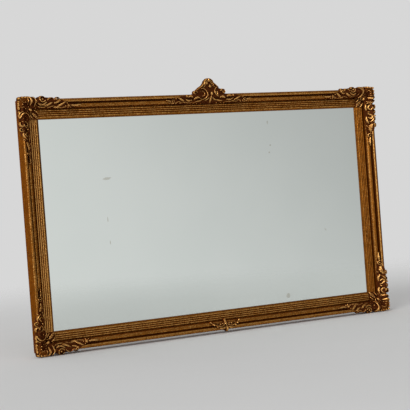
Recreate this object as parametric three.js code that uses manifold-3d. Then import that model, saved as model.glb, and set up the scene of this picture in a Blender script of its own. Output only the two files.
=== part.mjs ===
// A gilt overmantel mirror, upright, in millimetres: X across, Y from front to back, Z up.
// The origin is the middle of the backboard's rear face, which lies against the wall.
import * as THREE from "three";
import { mergeVertices } from "three/addons/utils/BufferGeometryUtils.js";
import Module from "manifold-3d";

const wasm = await Module();
wasm.setup();

// Frame, over the outer edges of its moulding.
const FRAME_WIDTH = 1500;
const FRAME_HEIGHT = 900;
const SEAT_GAP = 0.3;

// Moulding, measured from its sight edge outwards and from its flat back forwards.
const MOULDING_WIDTH = 71;
const MOULDING_DEPTH = 60;
const SIGHT_RISE = 28;
const LIP_THICKNESS = 4.5;
const LIP_WIDTH = 5;
const REBATE_WIDTH = 10;
const REED_COUNT = 4;
const REED_PITCH = 7.5;
const REED_HEIGHT = 2.6;
const REED_BED_RISE = 29.4;
const INNER_QUIRK_WIDTH = 3;
const INNER_QUIRK_RISE = 28.6;
const OVOLO_RISE = 46.5;
const OUTER_QUIRK_WIDTH = 2;
const OUTER_QUIRK_RISE = 42.3;
const OUTER_ROLL_RADIUS = 6.5;

// Ornament: a skin pressed over the moulding, wings standing out past its outer edge.
const SKIN_THICKNESS = 1.6;
const RELIEF_SQUARE = 1;
const OVOLO_BRIDGE = 3;
const WING_BACK_RISE = 44;
const WING_FRONT_RISE = 56;
const WING_OVERHANG = 12;
const ROOT_DEPTH = 16;
const CORNER_RIB_REACH = 61;
const CORNER_SCROLL_REACH = 77;
const RAIL_SPRAY_END = 236;
const STILE_SPRAY_END = 232;
const SPRAY_SEAM = 1.2;
const CREST_HEIGHT = 62;
const CREST_HALF_WIDTH = 70;
const CREST_SPRAY_END = 184;
const BASE_HALF_WIDTH = 66;
const BASE_DROP = 8;

// Glass and what holds it in the rebate.
const PLATE_THICKNESS = 6;
const PLATE_EDGE_GAP = 2;
const PLATE_ARRIS = 0.6;
const BLOCK_LENGTH = 60;
const BLOCK_FOOT = 15;
const BLOCK_NOSE = 3;
const BLOCKS_PER_RAIL = 3;
const BLOCKS_PER_STILE = 2;

// Backboard planks.
const PLANK_COUNT = 3;
const PLANK_THICKNESS = 9;
const PLANK_LAP = 16;
const PLANK_SEAM = 0.6;
const PLANK_CHAMFER = 1.5;

// Strap hangers and their rings.
const HANGER_BELOW_TOP = 260;
const STRAP_WIDTH = 15;
const STRAP_LENGTH = 46;
const STRAP_THICKNESS = 1.6;
const STRAP_HOLE_RADIUS = 2.3;
const STRAP_HOLE_PITCH = 18;
const STRAP_FIRST_HOLE = 15;
const RING_WIRE_RADIUS = 1.6;
const RING_EYE_CLEARANCE = 0.3;
const RING_HALF_WIDTH = 11;
const RING_BEND_RADIUS = 3;
const RING_LEG = 9;

// Places worked out from the sizes above.
const BACK_Y = -(PLANK_THICKNESS + SEAT_GAP);
const SIGHT_WIDTH = FRAME_WIDTH - 2 * MOULDING_WIDTH;
const SIGHT_HEIGHT = FRAME_HEIGHT - 2 * MOULDING_WIDTH;
const REED_BAND_END = LIP_WIDTH + REED_COUNT * REED_PITCH;
const OVOLO_START = REED_BAND_END + INNER_QUIRK_WIDTH;
const ROLL_CENTRE = MOULDING_WIDTH - OUTER_ROLL_RADIUS;
const OVOLO_END = MOULDING_WIDTH - 2 * OUTER_ROLL_RADIUS - OUTER_QUIRK_WIDTH;
const OVOLO_CREST = (OVOLO_START + 2 * OVOLO_END) / 3;
const ORNAMENT_INSET = MOULDING_WIDTH - REED_BAND_END;
const PLATE_FRONT_RISE = SIGHT_RISE - LIP_THICKNESS - SEAT_GAP;
const PLATE_BACK_RISE = PLATE_FRONT_RISE - PLATE_THICKNESS;

// Materials.
function gilding(color, roughness) {
  return new THREE.MeshStandardMaterial({ color, roughness, metalness: 0.75 });
}

function mouldingGilding() {
  return gilding(0x9c6526, 0.46);
}

function ornamentGilding() {
  return gilding(0x8d5524, 0.42);
}

function silveredGlass() {
  return new THREE.MeshStandardMaterial({ color: 0xc9cfca, roughness: 0.03, metalness: 1 });
}

function agedPine() {
  return new THREE.MeshStandardMaterial({ color: 0x8a6a45, roughness: 0.85, metalness: 0 });
}

function dullBrass() {
  return new THREE.MeshStandardMaterial({ color: 0x9a8048, roughness: 0.45, metalness: 0.9 });
}

// Solids: a geometry's volume tells which way it faces, and booleans turn it into closed bodies.
function facingOut(geometry) {
  const position = geometry.attributes.position;
  const index = geometry.index.array;
  const [a, b, c] = [new THREE.Vector3(), new THREE.Vector3(), new THREE.Vector3()];
  let volume = 0;
  for (let i = 0; i < index.length; i += 3) {
    a.fromBufferAttribute(position, index[i]);
    b.fromBufferAttribute(position, index[i + 1]);
    c.fromBufferAttribute(position, index[i + 2]);
    volume += a.dot(b.cross(c));
  }
  if (volume < 0) {
    index.reverse();
  }
  return geometry;
}

function bare(geometry) {
  geometry.deleteAttribute("normal");
  geometry.deleteAttribute("uv");
  return facingOut(mergeVertices(geometry, 1e-4));
}

function toSolid(geometry) {
  const plain = bare(geometry);
  return new wasm.Manifold(new wasm.Mesh({
    numProp: 3,
    vertProperties: new Float32Array(plain.attributes.position.array),
    triVerts: new Uint32Array(plain.index.array),
  }));
}

function toGeometry(solid) {
  const mesh = solid.getMesh();
  const geometry = new THREE.BufferGeometry();
  geometry.setAttribute("position", new THREE.BufferAttribute(new Float32Array(mesh.vertProperties), 3));
  geometry.setIndex(new THREE.BufferAttribute(new Uint32Array(mesh.triVerts), 1));
  return geometry;
}

function joined(solids) {
  return solids.reduce((whole, solid) => whole.add(solid));
}

// A closed body through a row of rings; a row that closes on itself has no ends to fill.
function loft(rings, closed = false) {
  const sides = rings[0].length;
  const positions = rings.flat().flatMap((point) => point.toArray());
  const index = [];
  const spans = closed ? rings.length : rings.length - 1;
  for (let i = 0; i < spans; i += 1) {
    const near = i * sides;
    const far = ((i + 1) % rings.length) * sides;
    for (let k = 0; k < sides; k += 1) {
      const next = (k + 1) % sides;
      index.push(near + k, near + next, far + k, near + next, far + next, far + k);
    }
  }
  const last = (rings.length - 1) * sides;
  for (let k = 1; !closed && k < sides - 1; k += 1) {
    index.push(0, k + 1, k, last, last + k, last + k + 1);
  }
  const geometry = new THREE.BufferGeometry();
  geometry.setAttribute("position", new THREE.Float32BufferAttribute(positions, 3));
  geometry.setIndex(new THREE.BufferAttribute(new Uint32Array(index), 1));
  return facingOut(geometry);
}

// The moulding's section: back, rebate, lip, reeds, ovolo and outer roll.
function mouldingOutline() {
  const outline = new THREE.Path();
  outline.moveTo(MOULDING_WIDTH, 0);
  outline.lineTo(REBATE_WIDTH, 0);
  outline.lineTo(REBATE_WIDTH, SIGHT_RISE - LIP_THICKNESS);
  outline.lineTo(0, SIGHT_RISE - LIP_THICKNESS);
  outline.lineTo(0, SIGHT_RISE);
  outline.lineTo(LIP_WIDTH, REED_BED_RISE);
  const points = outline.getPoints();
  for (let reed = 0; reed < REED_COUNT; reed += 1) {
    for (let step = 1; step <= 4; step += 1) {
      const across = LIP_WIDTH + (reed + step / 4) * REED_PITCH;
      const rise = REED_HEIGHT * Math.sin((Math.PI * step) / 4);
      points.push(new THREE.Vector2(across, REED_BED_RISE + rise));
    }
  }
  const rolls = new THREE.Path();
  rolls.moveTo(REED_BAND_END + INNER_QUIRK_WIDTH / 3, INNER_QUIRK_RISE);
  rolls.lineTo(OVOLO_START - INNER_QUIRK_WIDTH / 3, INNER_QUIRK_RISE);
  rolls.quadraticCurveTo(OVOLO_START, OVOLO_RISE, OVOLO_CREST, OVOLO_RISE);
  rolls.quadraticCurveTo(OVOLO_END - OUTER_QUIRK_WIDTH, OVOLO_RISE, OVOLO_END, OUTER_QUIRK_RISE);
  rolls.lineTo(OVOLO_END + OUTER_QUIRK_WIDTH, OUTER_QUIRK_RISE);
  rolls.absarc(ROLL_CENTRE, MOULDING_DEPTH - OUTER_ROLL_RADIUS, OUTER_ROLL_RADIUS, Math.PI, 0, true);
  return points.concat(rolls.getPoints(5));
}

// The same section grown outwards all round, for what is pressed onto the moulding.
function grown(outline, distance) {
  const count = outline.length;
  return outline.map((point, i) => {
    const before = point.clone().sub(outline[(i + count - 1) % count]).normalize();
    const after = outline[(i + 1) % count].clone().sub(point).normalize();
    const first = new THREE.Vector2(before.y, -before.x).negate();
    const second = new THREE.Vector2(after.y, -after.x).negate();
    const middle = first.clone().add(second).normalize();
    return point.clone().addScaledVector(middle, distance / Math.max(0.5, middle.dot(first)));
  });
}

// A moulding's section taken round all four sides as one mitred loop.
function frameLoop(outline) {
  const corners = [[1, 1], [-1, 1], [-1, -1], [1, -1]];
  const rings = corners.map(([right, up]) => outline.map(({ x, y }) => {
    const inset = MOULDING_WIDTH - x;
    return new THREE.Vector3(right * (FRAME_WIDTH / 2 - inset), BACK_Y - y, up * (FRAME_HEIGHT / 2 - inset));
  }));
  return toSolid(loft(rings, true));
}

// What the ornament seats on: flats that just touch the reeds, ovolo and roll and bridge the quirks.
function seatOutline() {
  const reedTop = REED_BED_RISE + REED_HEIGHT;
  const rollStart = MOULDING_WIDTH - 2 * OUTER_ROLL_RADIUS;
  const rollShoulder = MOULDING_DEPTH + OUTER_ROLL_RADIUS * (Math.tan(Math.PI / 6) - 1);
  const rollTop = MOULDING_DEPTH + OUTER_ROLL_RADIUS * (1 / Math.cos(Math.PI / 6) - 1);
  const points = [
    [MOULDING_WIDTH, 0], [0, 0], [0, SIGHT_RISE], [LIP_WIDTH, reedTop], [REED_BAND_END, reedTop],
    [OVOLO_START + INNER_QUIRK_WIDTH, OVOLO_RISE],
    [(OVOLO_CREST + OVOLO_END) / 2, OVOLO_RISE],
    [rollStart, rollShoulder], [ROLL_CENTRE, rollTop], [MOULDING_WIDTH, rollShoulder],
  ];
  return points.map(([across, rise]) => new THREE.Vector2(across, rise));
}

const OUTLINE = mouldingOutline();
const CLEARANCE = frameLoop(grown(seatOutline(), SEAT_GAP));
const SKIN = frameLoop(grown(seatOutline(), SEAT_GAP + SKIN_THICKNESS));

// A rail or stile lying along X with its outer edge up, mitred so that its ends fit the corners.
function mouldingMesh(name, length, centre, turn) {
  const shape = new THREE.Shape(OUTLINE);
  const geometry = new THREE.ExtrudeGeometry(shape, { depth: 1, bevelEnabled: false });
  const position = geometry.attributes.position;
  for (let i = 0; i < position.count; i += 1) {
    const inset = MOULDING_WIDTH - position.getX(i);
    const half = length / 2 - inset - SEAT_GAP * Math.SQRT1_2;
    const end = position.getZ(i) > 0.5 ? half : -half;
    position.setXYZ(i, end, -position.getY(i), -inset);
  }
  const mesh = new THREE.Mesh(bare(geometry), mouldingGilding());
  mesh.name = name;
  mesh.position.copy(centre);
  mesh.rotation.y = turn;
  return mesh;
}

function mouldings() {
  const [right, top] = [FRAME_WIDTH / 2, FRAME_HEIGHT / 2];
  return [
    mouldingMesh("rail_top", FRAME_WIDTH, new THREE.Vector3(0, BACK_Y, top), 0),
    mouldingMesh("rail_bottom", FRAME_WIDTH, new THREE.Vector3(0, BACK_Y, -top), Math.PI),
    mouldingMesh("stile_left", FRAME_HEIGHT, new THREE.Vector3(-right, BACK_Y, 0), -Math.PI / 2),
    mouldingMesh("stile_right", FRAME_HEIGHT, new THREE.Vector3(right, BACK_Y, 0), Math.PI / 2),
  ];
}

// A line through knots, each a place and its value, straight between them and on past both ends.
function through(knots) {
  return (place) => {
    const next = knots.findIndex(([at]) => at > place);
    const high = next < 0 ? knots.length - 1 : Math.max(next, 1);
    const [[from, low], [to, top]] = [knots[high - 1], knots[high]];
    return THREE.MathUtils.mapLinear(place, from, to, low, top);
  };
}

// How far forward the strokes stand, inset from the outer edge: just above the skin, without its steps.
const SKIN_LIFT = SEAT_GAP + SKIN_THICKNESS;
const groundRise = through([
  [-CREST_HEIGHT, WING_FRONT_RISE],
  [-WING_OVERHANG, WING_FRONT_RISE],
  [OUTER_ROLL_RADIUS, MOULDING_DEPTH + SKIN_LIFT],
  [MOULDING_WIDTH - OVOLO_CREST, OVOLO_RISE + SKIN_LIFT + OVOLO_BRIDGE],
  [ORNAMENT_INSET, (OVOLO_RISE + REED_BED_RISE) / 2 + SKIN_LIFT],
  [MOULDING_WIDTH - LIP_WIDTH, REED_BED_RISE + REED_HEIGHT + SKIN_LIFT],
]);

// The carving is drawn on squared paper and then fitted: each map takes a line of squares to the size
// it stands for. An inset of 36 squares is the whole moulding outside its reeds, -12 the wing's overhang.
const INSET_KNOTS = [[-12, -WING_OVERHANG], [0, 0], [36, ORNAMENT_INSET]];
const insetFit = through(INSET_KNOTS);

// Sections of the carved strokes, in half widths across and crowns up; the feet reach the root.
const RIB_SECTION = [[-1, -1], [-0.6, 1], [0.6, 1], [1, -1]];
const LEAF_SECTION = [[-1, -1], [-0.7, 1], [0, 0.3], [0.7, 1], [1, -1]];

// A piece of relief drawn in plan: fitX and fitY take its squares to real sizes, place puts them on the
// frame, and insetOf tells how far in from the outer edge they lie.
function relief(place, insetOf, fitX, fitY) {
  const solids = [];
  const seat = (x, y, rise) => place(fitX(x), fitY(y), rise);

  // Where a stroke starts from at a place in plan, and how deep it is rooted there.
  function footing(x, y, lift) {
    const inset = insetOf(fitX(x), fitY(y));
    const base = groundRise(inset) + lift * RELIEF_SQUARE;
    return { base, foot: Math.max(base - ROOT_DEPTH, inset < 0 ? WING_BACK_RISE : 0) };
  }

  function stroke(curve, width, crown, lift, section, steps) {
    const rings = [];
    for (let i = 0; i <= steps; i += 1) {
      const t = i / steps;
      const point = curve.getPoint(t);
      const tangent = curve.getTangent(t);
      const { base, foot } = footing(point.x, point.y, lift);
      rings.push(section.map(([x, y]) => seat(
        point.x - tangent.y * x * width(t),
        point.y + tangent.x * x * width(t),
        y < 0 ? foot : base + y * crown(t) * RELIEF_SQUARE,
      )));
    }
    solids.push(toSolid(loft(rings)));
  }

  // A stem that swells in its middle and thins towards both ends.
  function stem(points, thick, thin, lift = 2, steps = 3) {
    const curve = new THREE.SplineCurve(points.map(([x, y]) => new THREE.Vector2(x, y)));
    const width = (t) => thin + (thick - thin) * Math.sin(Math.PI * t);
    stroke(curve, width, width, lift, RIB_SECTION, steps);
  }

  // A spiral that winds from an outer to an inner radius and ends in an eye.
  function volute([x, y], from, to, outer, inner, thick, lift = 3, steps = 5) {
    const points = [];
    for (let i = 0; i <= steps; i += 1) {
      const angle = THREE.MathUtils.degToRad(THREE.MathUtils.lerp(from, to, i / steps));
      const radius = THREE.MathUtils.lerp(outer, inner, i / steps);
      points.push(new THREE.Vector2(x + radius * Math.cos(angle), y + radius * Math.sin(angle)));
    }
    const width = (t) => thick * (0.45 + 0.55 * Math.sin(Math.PI * (0.15 + 0.8 * t)));
    stroke(new THREE.SplineCurve(points), width, width, lift, RIB_SECTION, steps);
  }

  // A leaf with a sunk vein, bent sideways by its middle.
  function leaf(from, to, bend, half, lift = 2, steps = 3) {
    const start = new THREE.Vector2(...from);
    const end = new THREE.Vector2(...to);
    const across = new THREE.Vector2(start.y - end.y, end.x - start.x).normalize();
    const middle = start.clone().lerp(end, 0.5).addScaledVector(across, bend * 2);
    const curve = new THREE.QuadraticBezierCurve(start, middle, end);
    const width = (t) => Math.max(0.7, half * Math.sin(Math.PI * (0.12 + 0.86 * t)) ** 0.8);
    const crown = (t) => 0.8 + half * 0.5 * Math.sin(Math.PI * (0.1 + 0.85 * t));
    stroke(curve, width, crown, lift, LEAF_SECTION, steps);
  }

  // A bead stands on a foot, so that it never hangs over a hollow of the moulding.
  function bead([x, y], radius, lift = 3) {
    const { base, foot } = footing(x, y, lift);
    const height = radius * RELIEF_SQUARE;
    const dome = [[1, foot], [0.95, base + 0.4 * height], [0.4, base + height]];
    const rings = dome.map(([share, rise]) => Array.from({ length: 6 }, (_, k) => {
      const angle = (Math.PI * k) / 3;
      return seat(x + share * radius * Math.cos(angle), y + share * radius * Math.sin(angle), rise);
    }));
    solids.push(toSolid(loft(rings)));
  }

  // A shell: flutes fanned out from a hub, rising towards their scalloped ends.
  function shell([x, y], from, to, near, far, flutes, crown, lift = 2) {
    const rings = [];
    for (let i = 0; i <= 2 * flutes; i += 1) {
      const angle = THREE.MathUtils.degToRad(THREE.MathUtils.lerp(from, to, i / (2 * flutes)));
      const [reach, height] = i % 2 === 1 ? [far, crown] : [0.9 * far, 0.2 * crown];
      const section = [[near, -1], [near, 0.3 * height], [0.88 * reach, height], [reach, -1]];
      rings.push(section.map(([out, rise]) => {
        const [across, along] = [x + out * Math.cos(angle), y + out * Math.sin(angle)];
        const { base, foot } = footing(across, along, lift);
        return seat(across, along, rise < 0 ? foot : base + rise * RELIEF_SQUARE);
      }));
    }
    solids.push(toSolid(loft(rings)));
  }

  // The ground under the strokes, between two rises or following the moulding's skin.
  function slab(outline, low, high) {
    const ends = [low, high].map((rise) => outline.map(([x, y]) => seat(x, y, rise)));
    return toSolid(prism(outline, ends));
  }

  function ground(outline) {
    solids.push(slab(outline, 0, MOULDING_DEPTH * 2).intersect(SKIN));
  }

  function wing(outline, front = WING_FRONT_RISE) {
    solids.push(slab(outline, WING_BACK_RISE, front));
  }

  // Everything drawn so far as one body, seated on the moulding and kept inside its zone in plan.
  function cast(zone, also = []) {
    return joined([...solids, ...also]).subtract(CLEARANCE).intersect(slab(zone, 0, 2 * MOULDING_DEPTH));
  }

  return { solids, stem, volute, leaf, bead, shell, ground, wing, cast };
}

// A plan outline, which may turn inwards, between its two placed ends.
function prism(outline, [low, high]) {
  const contour = outline.map(([x, y]) => new THREE.Vector2(x, y));
  const faces = THREE.ShapeUtils.triangulateShape(contour, []);
  const count = outline.length;
  const clockwise = THREE.ShapeUtils.isClockWise(contour);
  const index = [];
  faces.forEach(([a, b, c]) => {
    index.push(a, c, b, a + count, b + count, c + count);
  });
  for (let k = 0; k < count; k += 1) {
    const next = (k + 1) % count;
    const [a, b] = clockwise ? [next, k] : [k, next];
    index.push(a, b, b + count, a, b + count, a + count);
  }
  const geometry = new THREE.BufferGeometry();
  const positions = [...low, ...high].flatMap((point) => point.toArray());
  geometry.setAttribute("position", new THREE.Float32BufferAttribute(positions, 3));
  geometry.setIndex(new THREE.BufferAttribute(new Uint32Array(index), 1));
  return geometry;
}

function ornamentMesh(name, solid, anchor) {
  const geometry = toGeometry(solid);
  geometry.translate(-anchor.x, -anchor.y, -anchor.z);
  const mesh = new THREE.Mesh(geometry, ornamentGilding());
  mesh.name = name;
  mesh.position.copy(anchor);
  return mesh;
}

// Plan places at a corner run along both outer edges from the corner itself.
function cornerSeat(right, up) {
  return (along, down, rise) => new THREE.Vector3(
    right * (FRAME_WIDTH / 2 - along),
    BACK_Y - rise,
    up * (FRAME_HEIGHT / 2 - down),
  );
}

// The corner piece: shell ribs over one arm, a C-scroll over the other, rocaille and a bead between.
// Its plan has the ribs along x and the C-scroll along y; it is swapped to lay the scroll on the rail.
function cornerPiece(name, right, up, scrollOnRail) {
  const place = cornerSeat(right, up);
  const seat = scrollOnRail ? (x, y, rise) => place(y, x, rise) : place;
  const fitRibs = through([...INSET_KNOTS, [61, CORNER_RIB_REACH]]);
  const fitScroll = through([...INSET_KNOTS, [77, CORNER_SCROLL_REACH]]);
  const arms = relief(seat, Math.min, fitRibs, fitScroll);
  arms.ground([[0, 0], [61, 0], [61, 28], [49, 36], [36, 36], [36, 55], [30, 73], [0, 77]]);
  arms.wing([
    [-11, 6], [-6, -6], [6, -11], [52, -11], [61, -5], [61, 5], [5, 5], [5, 77], [-5, 77], [-11, 61],
  ]);
  arms.volute([14, 68], 190, 375, 21, 19, 3.8, 3);
  arms.bead([-4, 63], 3.4, 3);
  arms.shell([26, 26], 162, 288, 14, 41, 5, 5, 0);
  arms.stem([[-9, 56], [-12, 44], [-2, 30]], 4, 2.6, 1);
  arms.stem([[28, -5], [37, 8], [33, 27]], 4.4, 2.4, 3);
  arms.stem([[43, -6], [54, 12], [46, 33]], 4.4, 2.2, 3);
  arms.bead([38, 37], 7, 5);

  const [inner, sight] = [ORNAMENT_INSET, MOULDING_WIDTH];
  const tip = relief(seat, Math.min, (x) => x, (y) => y);
  tip.ground([
    [inner - 6, inner - 6], [inner + 13, inner], [sight, inner + 14], [sight, sight], [inner + 14, sight],
    [inner, inner + 13],
  ]);
  tip.leaf([inner + 8, inner + 8], [sight + 1, sight + 1], 0, 9);
  const [ribs, scroll, past] = [CORNER_RIB_REACH, CORNER_SCROLL_REACH, inner + 3];
  const zone = [
    [-sight, -sight], [ribs, -sight], [ribs, past], [sight, past], [sight, sight], [past, sight], [past, scroll],
    [-sight, scroll],
  ];
  return ornamentMesh(name, tip.cast(zone, arms.solids), place(0, 0, WING_BACK_RISE));
}

// A spray is drawn in plan along its arm from its root, drawnLength squares long, then inset from the edge.
function spray(seat, root, end, drawnLength) {
  const fitAlong = through([[0, root], [drawnLength, end]]);
  const piece = relief(seat, (along, inset) => inset, fitAlong, insetFit);
  const zone = [[0, -24], [2 * drawnLength, -24], [2 * drawnLength, 38], [0, 38]];
  const mesh = (name) => ornamentMesh(name, piece.cast(zone), seat(root, 0, WING_BACK_RISE));
  return { ...piece, mesh };
}

function railSpray(name, right, up, root) {
  const piece = spray(cornerSeat(right, up), root, RAIL_SPRAY_END, 170);
  piece.ground([
    [0, 0], [84, 1], [104, 12], [134, 17], [162, 20], [162, 25], [130, 33], [96, 35], [50, 31], [0, 33],
  ]);
  piece.wing([[0, -8], [18, -11], [34, -7], [52, -6], [66, 3], [0, 3]], WING_FRONT_RISE - RELIEF_SQUARE);
  piece.volute([18, 0], 60, 300, 10.5, 6, 4);
  piece.bead([18, 0], 3.6, 4);
  piece.leaf([2, 18], [48, 13], -5, 7, 3);
  piece.leaf([32, 20], [66, 12], -4, 6, 3, 2);
  piece.volute([54, 1], 120, 300, 7, 4.6, 3.4, 2);
  piece.leaf([62, 14], [86, 2], 3, 5, 3, 2);
  piece.leaf([68, 29], [106, 12], 4, 6.6, 3, 2);
  piece.bead([110, 18], 4, 2);
  piece.leaf([104, 25], [134, 33], 3, 5, 2, 2);
  piece.leaf([130, 24], [170, 21], 2, 7, 2);
  return piece.mesh(name);
}

function stileSpray(name, right, up, root) {
  const place = cornerSeat(right, up);
  const piece = spray((along, inset, rise) => place(inset, along, rise), root, STILE_SPRAY_END, 170);
  piece.ground([
    [0, 0], [60, 1], [80, 6], [112, 12], [162, 18], [162, 25], [126, 31], [60, 33], [0, 34],
  ]);
  piece.wing([[0, -8], [16, -11], [34, -7], [54, 3], [0, 3]], WING_FRONT_RISE - RELIEF_SQUARE);
  piece.volute([20, 1], 80, 330, 10, 6, 4);
  piece.leaf([0, 20], [36, 25], 5, 7, 2);
  piece.bead([43, 20], 4.8, 4);
  piece.stem([[36, -2], [54, 4], [80, 16]], 4.6, 2.4, 2);
  piece.leaf([50, 27], [80, 12], -4, 6, 2, 2);
  piece.bead([80, 4], 4, 3);
  piece.leaf([82, 16], [120, 20], 3, 9, 3);
  piece.volute([129, 20], 0, 320, 7, 6.4, 3, 2);
  piece.bead([129, 20], 3.9, 1);
  piece.leaf([136, 20], [170, 22], -2, 5.4, 2, 2);
  return piece.mesh(name);
}

// Plan places for the crest and the base run across from the middle and in from the edge.
function middleSeat(up) {
  return (across, inset, rise) => new THREE.Vector3(across, BACK_Y - rise, up * (FRAME_HEIGHT / 2 - inset));
}

function crestPiece() {
  const seat = middleSeat(1);
  const [half, top] = [CREST_HALF_WIDTH, CREST_HEIGHT];
  const fitUp = through([[-62, -top], [0, 0], [36, ORNAMENT_INSET]]);
  const piece = relief(seat, (across, inset) => inset, through([[-70, -half], [70, half]]), fitUp);
  piece.ground([[-70, 0], [70, 0], [70, 28], [40, 32], [0, 38], [-40, 32], [-70, 28]]);
  piece.wing([
    [-70, 3], [-70, -4], [-56, -15], [-41, -25], [-22, -45], [-14, -56], [1, -62],
    [18, -58], [31, -46], [50, -27], [60, -17], [70, -6], [70, 3],
  ]);
  piece.shell([3, -28], -158, -22, 9, 32, 5, 6, 2);
  piece.stem([[-11, -22], [2, -30], [15, -22]], 4, 2.4, 3);
  piece.stem([[-20, -45], [-33, -33], [-46, -18]], 4.2, 2.6);
  piece.stem([[27, -47], [40, -34], [54, -20]], 4.2, 2.6);
  [[-1, -53, 9], [1, 57, 11]].forEach(([side, eye, reach]) => {
    const turn = (angle) => (side > 0 ? angle : 180 - angle);
    piece.volute([side * 29, 0], turn(-50), turn(-275), 19, 17, 4.4, 4);
    piece.volute([eye, -4], turn(-160), turn(60), reach, 0.7 * reach, 4, 3);
    piece.bead([eye, -4], 0.5 * reach, 2);
    piece.leaf([side * 36, 18], [side * 68, 9], side * 4, 6, 3);
    piece.leaf([side * 6, 27], [side * 44, 26], side * -3, 5, 2);
  });
  piece.bead([4, -1], 7.2, 6);
  piece.leaf([3, 8], [0, 38], 0, 6.4, 3);
  const zone = [[-70, -124], [70, -124], [70, 70], [-70, 70]];
  return ornamentMesh("crest_cartouche", piece.cast(zone), seat(0, 0, WING_BACK_RISE));
}

function crestSpray(name, side) {
  const place = middleSeat(1);
  const seat = (along, inset, rise) => place(side * along, inset, rise);
  const piece = spray(seat, CREST_HALF_WIDTH + SPRAY_SEAM, CREST_SPRAY_END, 114);
  piece.ground([
    [0, 2], [36, 2], [70, 12], [108, 16], [108, 21], [84, 33], [20, 36], [0, 30],
  ]);
  piece.leaf([0, 9], [32, 16], -3, 6.4, 3);
  piece.bead([28, 6], 5, 4);
  piece.stem([[0, 27], [26, 29], [64, 26]], 3.8, 2.2, 2);
  piece.leaf([32, 23], [64, 11], 3, 6, 3);
  piece.leaf([38, 27], [68, 33], 2, 5, 2, 2);
  piece.bead([74, 15], 4, 2);
  piece.volute([84, 25], 0, 320, 6.6, 6, 3, 2);
  piece.bead([84, 25], 3.6, 1);
  piece.leaf([88, 22], [114, 18], 1, 5, 2);
  return piece.mesh(name);
}

function basePiece() {
  const seat = middleSeat(-1);
  const [half, drop] = [BASE_HALF_WIDTH, BASE_DROP];
  const fitUp = through([[-8, -drop], [0, 0], [36, ORNAMENT_INSET]]);
  const piece = relief(seat, (across, inset) => inset, through([[-66, -half], [66, half]]), fitUp);
  piece.ground([
    [-66, 28], [-46, 10], [-12, 1], [12, 1], [46, 10], [66, 28], [60, 36], [34, 24], [10, 32], [0, 42],
    [-10, 32], [-34, 24], [-60, 36],
  ]);
  piece.wing([[-10, 4], [-7, -4], [0, -8], [7, -4], [10, 4]], WING_FRONT_RISE + 2 * RELIEF_SQUARE);
  [-1, 1].forEach((side) => {
    piece.stem([[side * 8, 19], [side * 34, 18], [side * 61, 29]], 4.2, 2.4, 2);
    piece.bead([side * 61, 31], 4.6, 3);
    piece.leaf([side * 6, 10], [side * 28, 9], side * 2, 5, 3);
  });
  piece.leaf([0, 14], [0, 43], 0, 6.4, 4);
  piece.leaf([0, 18], [0, -8], 0, 7.4, 3);
  piece.bead([0, -1], 4.8, 5);
  const zone = [[-66, -8], [66, -8], [66, 70], [-66, 70]];
  return ornamentMesh("base_ornament", piece.cast(zone), seat(0, 0, WING_BACK_RISE));
}

function ornaments() {
  const meshes = [crestPiece(), basePiece()];
  const [onRibs, onScroll] = [CORNER_RIB_REACH + SPRAY_SEAM, CORNER_SCROLL_REACH + SPRAY_SEAM];
  [["left", -1, false], ["right", 1, true]].forEach(([hand, right, scrollOnRail]) => {
    const [railRoot, stileRoot] = scrollOnRail ? [onScroll, onRibs] : [onRibs, onScroll];
    [["top", 1], ["bottom", -1]].forEach(([level, up]) => {
      meshes.push(cornerPiece(`corner_${level}_${hand}`, right, up, scrollOnRail));
      meshes.push(railSpray(`rail_spray_${level}_${hand}`, right, up, railRoot));
      meshes.push(stileSpray(`stile_spray_${level}_${hand}`, right, up, stileRoot));
    });
    meshes.push(crestSpray(`crest_spray_${hand}`, right));
  });
  return meshes;
}

// The silvered plate lies behind the lip, its edges clear of the rebate.
function mirrorPlate() {
  const margin = REBATE_WIDTH - PLATE_EDGE_GAP - PLATE_ARRIS;
  const [halfWidth, halfHeight] = [SIGHT_WIDTH / 2 + margin, SIGHT_HEIGHT / 2 + margin];
  const outline = [[-1, -1], [1, -1], [1, 1], [-1, 1]];
  const shape = new THREE.Shape(outline.map(([x, y]) => new THREE.Vector2(x * halfWidth, y * halfHeight)));
  const geometry = new THREE.ExtrudeGeometry(shape, {
    depth: PLATE_THICKNESS - 2 * PLATE_ARRIS,
    bevelThickness: PLATE_ARRIS,
    bevelSize: PLATE_ARRIS,
    bevelSegments: 1,
  });
  const mesh = new THREE.Mesh(bare(geometry), silveredGlass());
  mesh.name = "mirror_plate";
  mesh.rotation.x = Math.PI / 2;
  mesh.position.y = BACK_Y - PLATE_BACK_RISE - PLATE_ARRIS;
  return mesh;
}

// A glazing block is a wedge with one side on the rebate wall and its foot on the glass.
function blockGeometry() {
  const depth = PLATE_BACK_RISE - SEAT_GAP;
  const shape = new THREE.Shape();
  shape.moveTo(0, 0);
  shape.lineTo(BLOCK_NOSE, 0);
  shape.lineTo(BLOCK_FOOT, depth - BLOCK_NOSE);
  shape.lineTo(BLOCK_FOOT, depth);
  shape.lineTo(0, depth);
  const geometry = new THREE.ExtrudeGeometry(shape, { depth: BLOCK_LENGTH, bevelEnabled: false });
  geometry.translate(0, 0, -BLOCK_LENGTH / 2);
  return bare(geometry);
}

// Blocks share each side's length evenly; turn is the way from the rebate wall to the middle.
function blocksAlong(name, count, span, wall, turn) {
  const row = new THREE.Group();
  row.rotation.y = turn;
  for (let i = 0; i < count; i += 1) {
    const mesh = new THREE.Mesh(blockGeometry(), agedPine());
    mesh.name = `${name}_${i + 1}`;
    mesh.rotation.x = Math.PI;
    mesh.position.set(-wall, BACK_Y, span * ((i + 0.5) / count - 0.5));
    row.add(mesh);
  }
  return row;
}

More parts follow.
